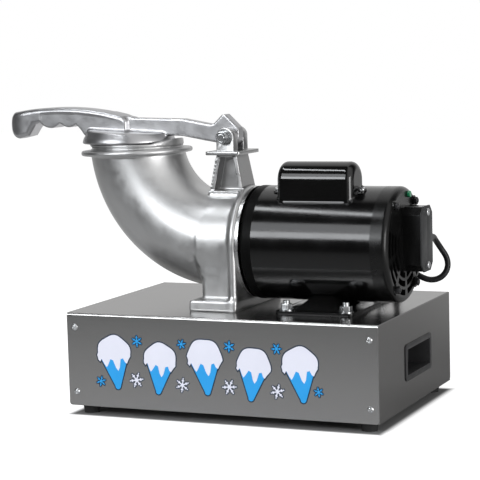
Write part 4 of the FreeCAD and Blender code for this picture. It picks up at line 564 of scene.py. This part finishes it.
def post_field(x, y, z):
    """The tapered H post on its seat, with the weld's beads at its foot and up its left edge."""
    dx, dy = x - PIVOT_X, y - AXIS_Y
    share = np.clip((z - SEAT_Z) / (POST_TOP - SEAT_Z), 0, 1)
    half_x, half_y = POST_HALF_X - POST_IN_X * share, POST_HALF_Y - POST_IN_Y * share
    middle, half_z = (SEAT_Z + POST_TOP) / 2, (POST_TOP - SEAT_Z) / 2
    body = meet(meet(np.abs(dx) - half_x, np.abs(dy) - half_y, 1.5), np.abs(z - middle) - half_z, 0.4)
    recess = meet(np.abs(dx) - half_x + RIB, WEB_HALF - np.abs(dy), 1.5)
    recess = meet(recess, np.abs(z - RECESS_Z) - RECESS_HALF, 1.5)
    body = meet(body, -recess, 0.8)
    wobble = np.sin(dx * 0.9 + 1) * np.cos(dy * 1.1 + z * 0.8)
    foot = length(meet(np.abs(dx) - half_x, np.abs(dy) - half_y), z - SEAT_Z) - BEAD_R - 0.3 * wobble
    ripple = np.sin(z * 1.35 + 0.8 * np.sin(z * 0.4))
    edge = length(dx + half_x - 0.6, dy + half_y - 0.6) - EDGE_BEAD_R - 0.35 * ripple
    body = join(join(body, foot, 1), meet(edge, z - EDGE_BEAD_TOP), 0.8)
    flange = disc(x + 2.5, length(dy, z - AXIS_Z), 6.9, FLANGE_R + 0.4)
    return meet(body, -flange)


# ---------------------------------------------------------------- lever
PIVOT_X, PIVOT_Z, PIVOT_BORE_R = -26.0, 338.5, 4.8
ARM_END, GRIP_END, TIP, GRIP_RISE = 134.0, 224.0, 317.0, 38.0      # back from the pivot, and above it
ARM_HALF, GRIP_HALF, ARM_UNDER_X = 8.0, 15.0, -190.0
KNOB_X, KNOB_L = -315.0, 26.5                       # where the grip starts to taper, and how far it would go
SHOULDER_X, SHOULDER_ROUND = -163.7, 12.0
PANEL_X, PANEL_DROP, PANEL_Y = -290.5, 6.6, 14.2    # the grip's sunk side panel
LID_X, LID_R, LID_Z = -170.0, 59.3, 331.0
LID_TOP, LID_LEAN, LEAN_SLANT = 345.9, 0.0565, 1.002
LID_SIDE_Z, LID_SIDE, SIDE_SLANT = 335.0, 0.6, 1.166
LID_HOLLOW_R, LID_HOLLOW = 43.0, 1.8


def lever_at(back, rise):
    """A place in the lever's plane, from the pivot."""
    return PIVOT_X - back, PIVOT_Z + rise


def tip_arc():
    """The round end of the knob: an arc through the top line's end, the tip and the hook."""
    a, b, c = (np.array(lever_at(*p)) for p in ((TIP - 11, GRIP_RISE - 5.5), (TIP, GRIP_RISE - 22),
                                                (TIP - 17, GRIP_RISE - 40)))
    rows = np.array([b - a, c - a])
    centre = np.linalg.solve(rows, (rows * (rows + 2 * a)).sum(1) / 2)
    start, end = (math.degrees(math.atan2(*(p - centre)[::-1])) % 360 for p in (a, c))
    return arc(centre, float(np.linalg.norm(a - centre)), start, end, 22)


HANDLE_TOP = flowing([lever_at(ARM_END, GRIP_RISE - 13.5),
                      lever_at((ARM_END + GRIP_END) / 2, GRIP_RISE - 4.2),
                      lever_at(GRIP_END, GRIP_RISE),
                      lever_at((GRIP_END + TIP) / 2, GRIP_RISE - 1),
                      lever_at(TIP - 11, GRIP_RISE - 5.5)], 10)
# the scallops under the grip for the fingers, in X and Z
SCALLOPS = ([(-291.6, 357.2), (-287, 353.4), (-280, 350.8), (-272, 350.8), (-263.2, 356)],
            [(-262.2, 356), (-253.5, 351.7), (-245, 351.7), (-239.3, 354.6)],
            [(-238.6, 354.4), (-232.5, 348.3), (-228, 342)])
HANDLE_UNDER = [(-310, 340), (-304, 348.5), (-299.5, 354.6), (-292.6, 357.6)]
for scallop in SCALLOPS:
    HANDLE_UNDER += flowing(scallop, 6)
HANDLE = HANDLE_TOP + tip_arc()[1:] + HANDLE_UNDER + [(-223, 338), lever_at(ARM_END, 0)]
EYE_R = 12.5
ARM_TOP = [(ARM_END + 5, 3), (ARM_END + 5, 24), (64, 22), (26, 15), (21, 16),
           (9.5, 27), (5.5, 27.5), (-9.5, 13), (-11.7, 10.8), (-12.5, 8)]
ARM_UNDER = [(12.6, -9.5), (19.5, -7.5), (34.5, -5), (64.7, 0.7), (91.7, 1.5)]
EYE = [(-back, rise) for back, rise in arc((0, 0), EYE_R, 0, -180, 15)]
ARM = [lever_at(*p) for p in ARM_TOP + EYE + ARM_UNDER]


def lever_field(x, y, z):
    """The pusher lever and its saucer lid in one casting, as it lies when closed."""
    dy = y - AXIS_Y
    shape = outline(x, z, HANDLE)
    top = np.full(np.broadcast(x, z).shape, 1e9)
    for (u0, w0), (u1, w1) in zip(HANDLE_TOP, HANDLE_TOP[1:]):
        du, dw = u1 - u0, w1 - w0
        share = np.clip(((x - u0) * du + (z - w0) * dw) / (du * du + dw * dw), 0, 1)
        top = np.minimum(top, length(x - u0 - share * du, z - w0 - share * dw))
    half = GRIP_HALF * np.sqrt(1 - np.clip((KNOB_X - x) / KNOB_L, 0, 0.995) ** 2)
    # the grip's edges are softest along its top, at the knob and toward the lid
    soft = np.maximum(np.maximum(1.2 - top / 12, (-292 - x) / 12), (x + 180) / 14)
    grip = meet(shape, x - SHOULDER_X, SHOULDER_ROUND)
    grip = meet(grip, np.abs(dy) - half, 2.2 + 4 * np.clip(soft, 0, 1))
    fade = np.clip((x + 225) / 50, 0, 1)
    panel = meet(meet(PANEL_DROP - top, PANEL_X - x, 1.5), PANEL_Y + fade - np.abs(dy), 0.6)
    grip = meet(grip, -panel, 0.5)
    arm = np.minimum(outline(x, z, ARM), meet(shape, ARM_UNDER_X - x))
    arm = meet(arm, np.abs(dy) - ARM_HALF, 1.6)
    out = length(x - LID_X, dy)
    lid = meet(out - LID_R, (z - LID_TOP + LID_LEAN * (x - LID_X)) / LEAN_SLANT, 2.0)
    lid = meet(lid, (out - LID_R + LID_SIDE * (z - LID_SIDE_Z)) / SIDE_SLANT, 2)
    lid = meet(lid, LID_Z - z, 2)
    hollow = meet(z - LID_Z - LID_HOLLOW, out - LID_HOLLOW_R + (z - LID_Z), 0.5)
    body = join(join(grip, meet(lid, -hollow), 2.5), arm, 3)
    return meet(body, PIVOT_BORE_R - length(x - PIVOT_X, z - PIVOT_Z))


# ---------------------------------------------------------------- capacitor cover
COVER_X, COVER_Y, COVER_Z, COVER_R, COVER_HALF = 99.25, -44.0, 286.0, 23.0, 48.75
LUG_REACH, LUG_HALF, LUG_THICK = 10.0, 7.0, 2.1
SKIRT_X, SKIRT_Y, SKIRT_R, SKIRT_Z, SKIRT_THICK = 42.0, 16.0, 8.6, 250.0, 1.2


def cover_field(x, y, z):
    """The drawn capacitor cover: a round-topped box with lugs, flared to the motor's shell."""
    dx, dy = x - COVER_X, y - COVER_Y
    wall = length(dy, np.maximum(z - COVER_Z, 0)) - COVER_R
    body = meet(wall, np.abs(dx) - COVER_HALF, 9)
    from_axis = length(y - AXIS_Y, z - AXIS_Z)
    lug = meet(np.abs(dx) - COVER_HALF - LUG_REACH, np.abs(dy + 1) - LUG_HALF, 4)
    lug = meet(lug, from_axis - MOTOR_R - LUG_THICK)
    skirt = length(np.maximum(np.abs(dx) - SKIRT_X, 0), np.maximum(np.abs(dy) - SKIRT_Y, 0)) - SKIRT_R
    skirt = meet(meet(skirt, from_axis - MOTOR_R - SKIRT_THICK), SKIRT_Z - z)
    body = join(join(body, lug, 2), skirt, 1.2)
    return meet(body, MOTOR_R - from_axis)


# ---------------------------------------------------------------- fasteners, each along its own axis
CHAMFER_FROM, CHAMFER_IN, CHAMFER_DOWN = 0.52, 0.5, 0.866          # a head's chamfer: where it starts, and its slope
STEEPNESS = 0.5                                     # of a thread's flanks
CROSS_DEPTH, CROSS_WIDTH, CROSS_REACH = 0.55, 0.16, 0.6            # shares of a screw head's height and radius


def hexagon(across, u, w):
    """A hexagon across its flats."""
    half_u, part_w = u / 2, w * math.sqrt(3) / 2
    return np.maximum(np.maximum(np.abs(u), np.abs(half_u + part_w)), np.abs(half_u - part_w)) - across / 2


def thread(along, u, w, radius, pitch):
    """A screw thread of V section."""
    turn = along / pitch - np.arctan2(w, u) / (2 * math.pi)
    return length(u, w) - radius + STEEPNESS * pitch * np.abs(turn - np.round(turn))


def hex_field(across, height, stud_r=0.0, stud_from=0.0, stud_to=0.0, pitch=0.0, bore=0.0):
    """A hex head or nut from 0 to its height, chamfered, with a threaded stud or a bore."""
    def field(a, u, w):
        head = meet(hexagon(across, u, w), np.abs(a - height / 2) - height / 2, 0.25)
        head = meet(head, (length(u, w) - across * CHAMFER_FROM) * CHAMFER_IN + (a - height) * CHAMFER_DOWN)
        if stud_r:
            middle, half = (stud_from + stud_to) / 2, abs(stud_to - stud_from) / 2
            head = np.minimum(head, meet(thread(a, u, w, stud_r, pitch), np.abs(a - middle) - half, 0.6))
        if bore:
            head = meet(head, bore - length(u, w), 0.3)
        return head
    return field


def pan_field(radius, height):
    """A low domed head with a cross recess, from 0 to its height."""
    sphere = (radius ** 2 + height ** 2) / (2 * height)
    slot, depth, reach = radius * CROSS_WIDTH, height * CROSS_DEPTH, radius * CROSS_REACH

    def field(a, u, w):
        dome = meet(length(a - height + sphere, u, w) - sphere, length(u, w) - radius, 0.3)
        dome = meet(dome, -a - 0.2)
        arms = np.minimum(meet(np.abs(u) - slot, np.abs(w) - reach), meet(np.abs(w) - slot, np.abs(u) - reach))
        return meet(dome, -meet(arms, height - depth - a), 0.15)
    return field


def stamp(name, node, field, reach, places, step):
    """Copies of one fastener in a CAD node's place: its field's surface turned to each (place, axis, spin)."""
    (low, high), radius = reach
    points, faces = skin(field, (low, -radius, -radius), (high, radius, radius), step)
    all_points, all_faces = [], []
    for place, axis, spin in places:
        turn = Vector((1, 0, 0)).rotation_difference(Vector(axis).normalized()).to_matrix()
        turn = turn @ Matrix.Rotation(math.radians(spin), 3, "X")
        all_faces.append(faces + len(points) * len(all_points))
        all_points.append(points @ np.array(turn).T + np.array(place))
    piece = build(name, np.concatenate(all_points), np.concatenate(all_faces), [finish_of(node)])
    piece.data.shade_smooth()
    stand_in(piece, node)


def middles_of(node):
    """The middle of each separate solid in a CAD node, in mm from the cabinet's centre."""
    mesh = NODES[node].data
    points = (np.array([v.co for v in mesh.vertices]) - np.array(CABINET)) * 1000
    spots = list(map(tuple, np.round(points, 3)))
    keys = {}
    label = np.array([keys.setdefault(spot, i) for i, spot in enumerate(spots)])
    edges = np.array([e.vertices for e in mesh.edges])
    while True:
        low = np.minimum(label[edges[:, 0]], label[edges[:, 1]])
        before = label.copy()
        np.minimum.at(label, edges[:, 0], low)
        np.minimum.at(label, edges[:, 1], low)
        for i, spot in enumerate(spots):
            keys[spot] = min(keys[spot], label[i])
        label = np.minimum(label, [keys[spot] for spot in spots])
        if (label == before).all():
            break
    solids = [points[label == k] for k in np.unique(label)]
    return [(solid.min(0) + solid.max(0)) / 2 for solid in solids]


# ---------------------------------------------------------------- eased CAD pieces
EASE_SEGMENTS, EASE_ANGLE = 3, 32                   # facets of an eased edge, and the least bend that is eased
FLAT_ANGLE, SAME_PLACE = 0.6, 2e-6
EASE = {"lever_clevis": 0.9, "terminal_box": 1.0, "terminal_cover": 0.5, "hand_grip_left": 0.8,
        "hand_grip_right": 0.8, "power_switch": 0.5, "motor_foot": 0.7}


def eased(node, width):
    """A copy of a CAD node with its sharp edges rounded, in the node's place."""
    mesh = NODES[node].data.copy()
    mesh.name = node + "_eased"
    piece = bpy.data.objects.new(node + "_eased", mesh)
    bpy.context.scene.collection.objects.link(piece)
    made = bmesh.new()
    made.from_mesh(mesh)
    bmesh.ops.remove_doubles(made, verts=made.verts, dist=SAME_PLACE)
    bmesh.ops.dissolve_limit(made, angle_limit=math.radians(FLAT_ANGLE), verts=made.verts, edges=made.edges)
    made.to_mesh(mesh)
    made.free()
    ease = piece.modifiers.new("ease", "BEVEL")
    ease.width = mm(width)
    ease.segments = EASE_SEGMENTS
    ease.limit_method = "ANGLE"
    ease.angle_limit = math.radians(EASE_ANGLE)
    ease.harden_normals = True
    mesh.shade_smooth()
    bpy.context.view_layer.update()
    final = bpy.data.meshes.new_from_object(piece.evaluated_get(bpy.context.evaluated_depsgraph_get()))
    piece.modifiers.clear()
    piece.data = final
    final.materials.clear()
    final.materials.append(finish_of(node))
    stand_in(piece, node)


# ---------------------------------------------------------------- front panel's decal
CONES = ((-138, 70, 1.16, 6), (-77, 65, 1.1, -5), (-16, 70, 1.18, 4), (46, 64, 1.12, -6),
         (107, 67, 1.16, 5))                        # X, Z, size and lean
FLAKES = ((-109, 48, 9.5, 10), (-47, 45, 9, 22), (15, 46, 9.5, 4), (77, 44, 9, 15), (-107, 96, 7, 33),
          (-47, 95, 6, 12), (16, 95, 7, 27), (77, 95, 6.5, 3), (-158, 44, 6.5, 18),
          (129, 46, 6, 40))                         # X, Z, radius and spin
FLAKE_ARM = ((0.2, -30), (0.5, -9), (0.62, -19), (0.74, -14), (0.68, -5), (1.0, -4.5),
             (1.0, 4.5), (0.68, 5), (0.74, 14), (0.62, 19), (0.5, 9))       # share of the radius, and angle
CONE_BORDER, FLAKE_BORDER, WHITE_FROM = 1.4, 0.9, 7.5
LAYER_UNDER, LAYER_CONE, LAYER_FLAKE, LAYER_HEAP = 0.1, 0.16, 0.2, 0.22     # how far each stands proud
HEAP_Z, HEAP_R, HEAP_SWELL, HEAP_LUMPS = 8, 19.5, 0.035, 5.5
NAVY, BLUE, WHITE = 0, 1, 2


def grown(points, by):
    """An outline moved outward by a distance."""
    ring = np.array(points)
    ahead, behind = np.roll(ring, -1, 0) - ring, ring - np.roll(ring, 1, 0)
    normals = []
    for v in (ahead, behind):
        n = np.stack([v[:, 1], -v[:, 0]], 1)
        normals.append(n / np.maximum(np.linalg.norm(n, axis=1, keepdims=True), 1e-9))
    total = normals[0] + normals[1]
    total /= np.maximum(np.linalg.norm(total, axis=1, keepdims=True), 1e-9)
    turned = np.maximum((total * normals[0]).sum(1, keepdims=True), 0.5)
    return ring + by * total / turned


def cup_shapes(x, z, size, lean):
    """A paper cone heaped with shaved ice: the cone's outline and the heap's, counter-clockwise."""
    cone = [(-3, -27)] + arc((0, -27), 3.2, 200, 340, 7) + [(3.4, -27), (17, 6), (-17, 6)]
    heap = []
    for u, w in arc((0, HEAP_Z), HEAP_R, -8, 188, 26):
        swell = 1 + HEAP_SWELL * math.sin(HEAP_LUMPS * math.atan2(w - HEAP_Z, u) + x)
        heap.append((u * swell, HEAP_Z + (w - HEAP_Z) * swell))
    heap += [(-19.5, 3), (-17.5, 0.5), (-15.5, 3.5), (-12.5, -3), (-10.5, -6), (-8.3, -3), (-5, 2.5),
             (-2, 1), (0.5, -7), (2.7, -10.5), (5, -7), (7, 1.5), (10, 2.5), (12, -2), (14, -3.5),
             (16, 0), (19, 4)]
    c, s = math.cos(math.radians(lean)), math.sin(math.radians(lean))
    return [[(x + size * (u * c - w * s), z + size * (u * s + w * c)) for u, w in shape] for shape in (cone, heap)]


def flake_shape(x, z, radius, spin):
    """A six-armed snow crystal as one outline."""
    points = []
    for i in range(6):
        for share, off in FLAKE_ARM:
            angle = math.radians(60 * i + spin) + math.radians(off)
            points.append((x + radius * share * math.cos(angle), z + radius * share * math.sin(angle)))
    return points


def make_decal():
    """A vinyl decal of heaped paper cones and snow crystals on the front panel."""
    layers = []
    for x, z, size, lean in CONES:
        cone, heap = cup_shapes(x, z, size, lean)
        layers += [(grown(cone, CONE_BORDER), LAYER_UNDER, NAVY), (grown(heap, CONE_BORDER), LAYER_UNDER, NAVY),
                   (cone, LAYER_CONE, BLUE), (heap, LAYER_HEAP, WHITE)]
    for x, z, radius, spin in FLAKES:
        flake = flake_shape(x, z, radius, spin)
        layers += [(grown(flake, FLAKE_BORDER), LAYER_UNDER, NAVY),
                   (flake, LAYER_FLAKE, WHITE if radius > WHITE_FROM else BLUE)]
    points, faces, colours = [], [], []
    for ring, thick, colour in layers:
        start, n = len(points), len(ring)
        points += [(u, FACE_Y - thick, w) for u, w in ring] + [(u, FACE_Y, w) for u, w in ring]
        faces.append([start + k for k in range(n)])
        faces += [[start + k, start + n + k, start + n + (k + 1) % n, start + (k + 1) % n] for k in range(n)]
        colours += [colour] * (n + 1)
    decal = build("front_decal", points, faces, [FINISHES[k] for k in ("vinyl_navy", "vinyl_blue", "vinyl_white")])
    decal.data.polygons.foreach_set("material_index", colours)
    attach(decal, "stand")


# ---------------------------------------------------------------- motor lead
CORD_R = 3.75
LEAD_ROUTE = [(214.5, 30, 211), (214.5, 39.9, 211), (212.5, 53.2, 205.4), (216.3, 63.6, 193.7),
              (224.4, 65.7, 180.9), (225.5, 63.5, 167.3), (218.2, 58.7, 156.6), (205.6, 53.7, 153.7),
              (192.4, 50.3, 159.1), (179.5, 55.6, 166.7), (165.2, 62.3, 164.1), (156, 67, 151.9), (156, 67, 136)]


def make_lead():
    """The jacketed lead from the terminal box to its grip on the deck."""
    curve = bpy.data.curves.new("lead", "CURVE")
    curve.dimensions = "3D"
    spline = curve.splines.new("NURBS")
    spline.points.add(len(LEAD_ROUTE) - 1)
    for point, place in zip(spline.points, LEAD_ROUTE):
        point.co = (*at(*place), 1.0)
    spline.order_u = 3
    spline.use_endpoint_u = True
    spline.resolution_u = 12
    curve.bevel_depth = mm(CORD_R)
    curve.bevel_resolution = 6
    lead = bpy.data.objects.new("lead_jacket", curve)
    bpy.context.scene.collection.objects.link(lead)
    curve.materials.append(FINISHES["cord_jacket"])
    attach(lead, "stand")
    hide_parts("motor_lead")


# ---------------------------------------------------------------- all pieces
def make_castings():
    step = 1.8
    cast("hopper_casting", "head_casting", head_field, (-235, -97, 114), (9, 57, 341), step)
    cast("welded_post", "lever_post", post_field, (-53, -45, 266), (0, 5, 319), 0.9)
    cast("lever_casting", "pusher_lever", lever_field, (-348, -82, 321), (-8, 43, 380), step - 0.5)
    cast("capacitor_dome", "capacitor_cover", cover_field, (36, -72, 240), (162, -16, 312), 1.5)


SCREW_TURN, NUT_TURN, BOLT_TURN = 25, 12, 30        # degrees from one fastener to the next, and of the lever's bolt
NUT_Z = 133.6                                       # where the motor's foot nuts sit
EAR_BACK, EAR_FRONT = -44.2, 4.2                    # the Y of the clevis's outer faces
GROUND_SCREW = (198, -6, 267)
TIE_X, TIE_Y, TIE_Z = 12.0, 35.98, 50.0             # the tie bolts' heads, and how far they lie from the axis
TIE_R, TIE_LENGTH, TIE_NUT = 2.4, 190.0, 187.0


def make_panel_and_foot_fasteners():
    """The panel screws, front and rear, and the nuts on the motor's foot."""
    places = []
    for i, middle in enumerate(middles_of("panel_screws")):
        side = -1 if middle[1] < 0 else 1
        places.append(((middle[0], -side * FACE_Y, middle[2]), (0, side, 0), SCREW_TURN * i))
    stamp("panel_screw_heads", "panel_screws", pan_field(radius=4.2, height=2.2), ((-0.6, 2.8), 5), places, 0.4)
    places = [((middle[0], middle[1], NUT_Z), (0, 0, 1), NUT_TURN * i)
              for i, middle in enumerate(middles_of("motor_mount_nuts"))]
    nut = hex_field(across=13, height=6.5, stud_r=4.2, stud_to=10.6, pitch=1.25)
    stamp("mount_nuts", "motor_mount_nuts", nut, ((-1.5, 12), 9), places, 0.5)


def make_pivot_and_ties():
    """The lever's bolt and nut, the ground screw and the motor's tie bolts."""
    bolt = hex_field(across=14, height=6, stud_r=4.75, stud_from=-59.4, stud_to=0.5, pitch=1.5)
    stamp("pivot_bolt_threaded", "pivot_bolt", bolt, ((-61, 8), 9.5),
          [((PIVOT_X, EAR_FRONT, PIVOT_Z), (0, 1, 0), BOLT_TURN)], 0.5)
    stamp("pivot_nut_chamfered", "pivot_nut", hex_field(across=14, height=8, bore=PIVOT_BORE_R),
          ((-1.5, 9.5), 9.5), [((PIVOT_X, EAR_BACK, PIVOT_Z), (0, -1, 0), BOLT_TURN)], 0.5)
    screw = hex_field(across=7, height=3.5, stud_r=2.0, stud_from=-6, stud_to=0.5, pitch=0.7)
    stamp("ground_screw_head", "ground_screw", screw, ((-7, 5), 5), [(GROUND_SCREW, (1, 0, 0), 0)], 0.35)
    head = hex_field(across=8, height=3.5)
    nut = hex_field(across=8, height=4, stud_r=2.5, stud_from=-8, stud_to=5, pitch=0.8)

    def tie(a, u, w):
        """One tie bolt: its head, its rod and its nut with the threaded end."""
        rod = meet(length(u, w) - TIE_R, np.abs(a - TIE_LENGTH / 2) - TIE_LENGTH / 2)
        return np.minimum(np.minimum(head(-a, u, w), nut(a - TIE_NUT, u, w)), rod)
    places = [((TIE_X, AXIS_Y + side * TIE_Y, AXIS_Z + up * TIE_Z), (1, 0, 0), 0)
              for side in (-1, 1) for up in (-1, 1)]
    stamp("tie_rods", "tie_bolts", tie, ((-5, 194), 5.5), places, 0.5)


bpy.context.scene.view_settings.view_transform = "Standard"
make_camera()
make_lead()
make_world()
make_lamps()
make_floor()
dress_cad()
make_castings()
make_panel_and_foot_fasteners()
make_pivot_and_ties()
make_decal()
for name, width in EASE.items():
    eased(name, width)
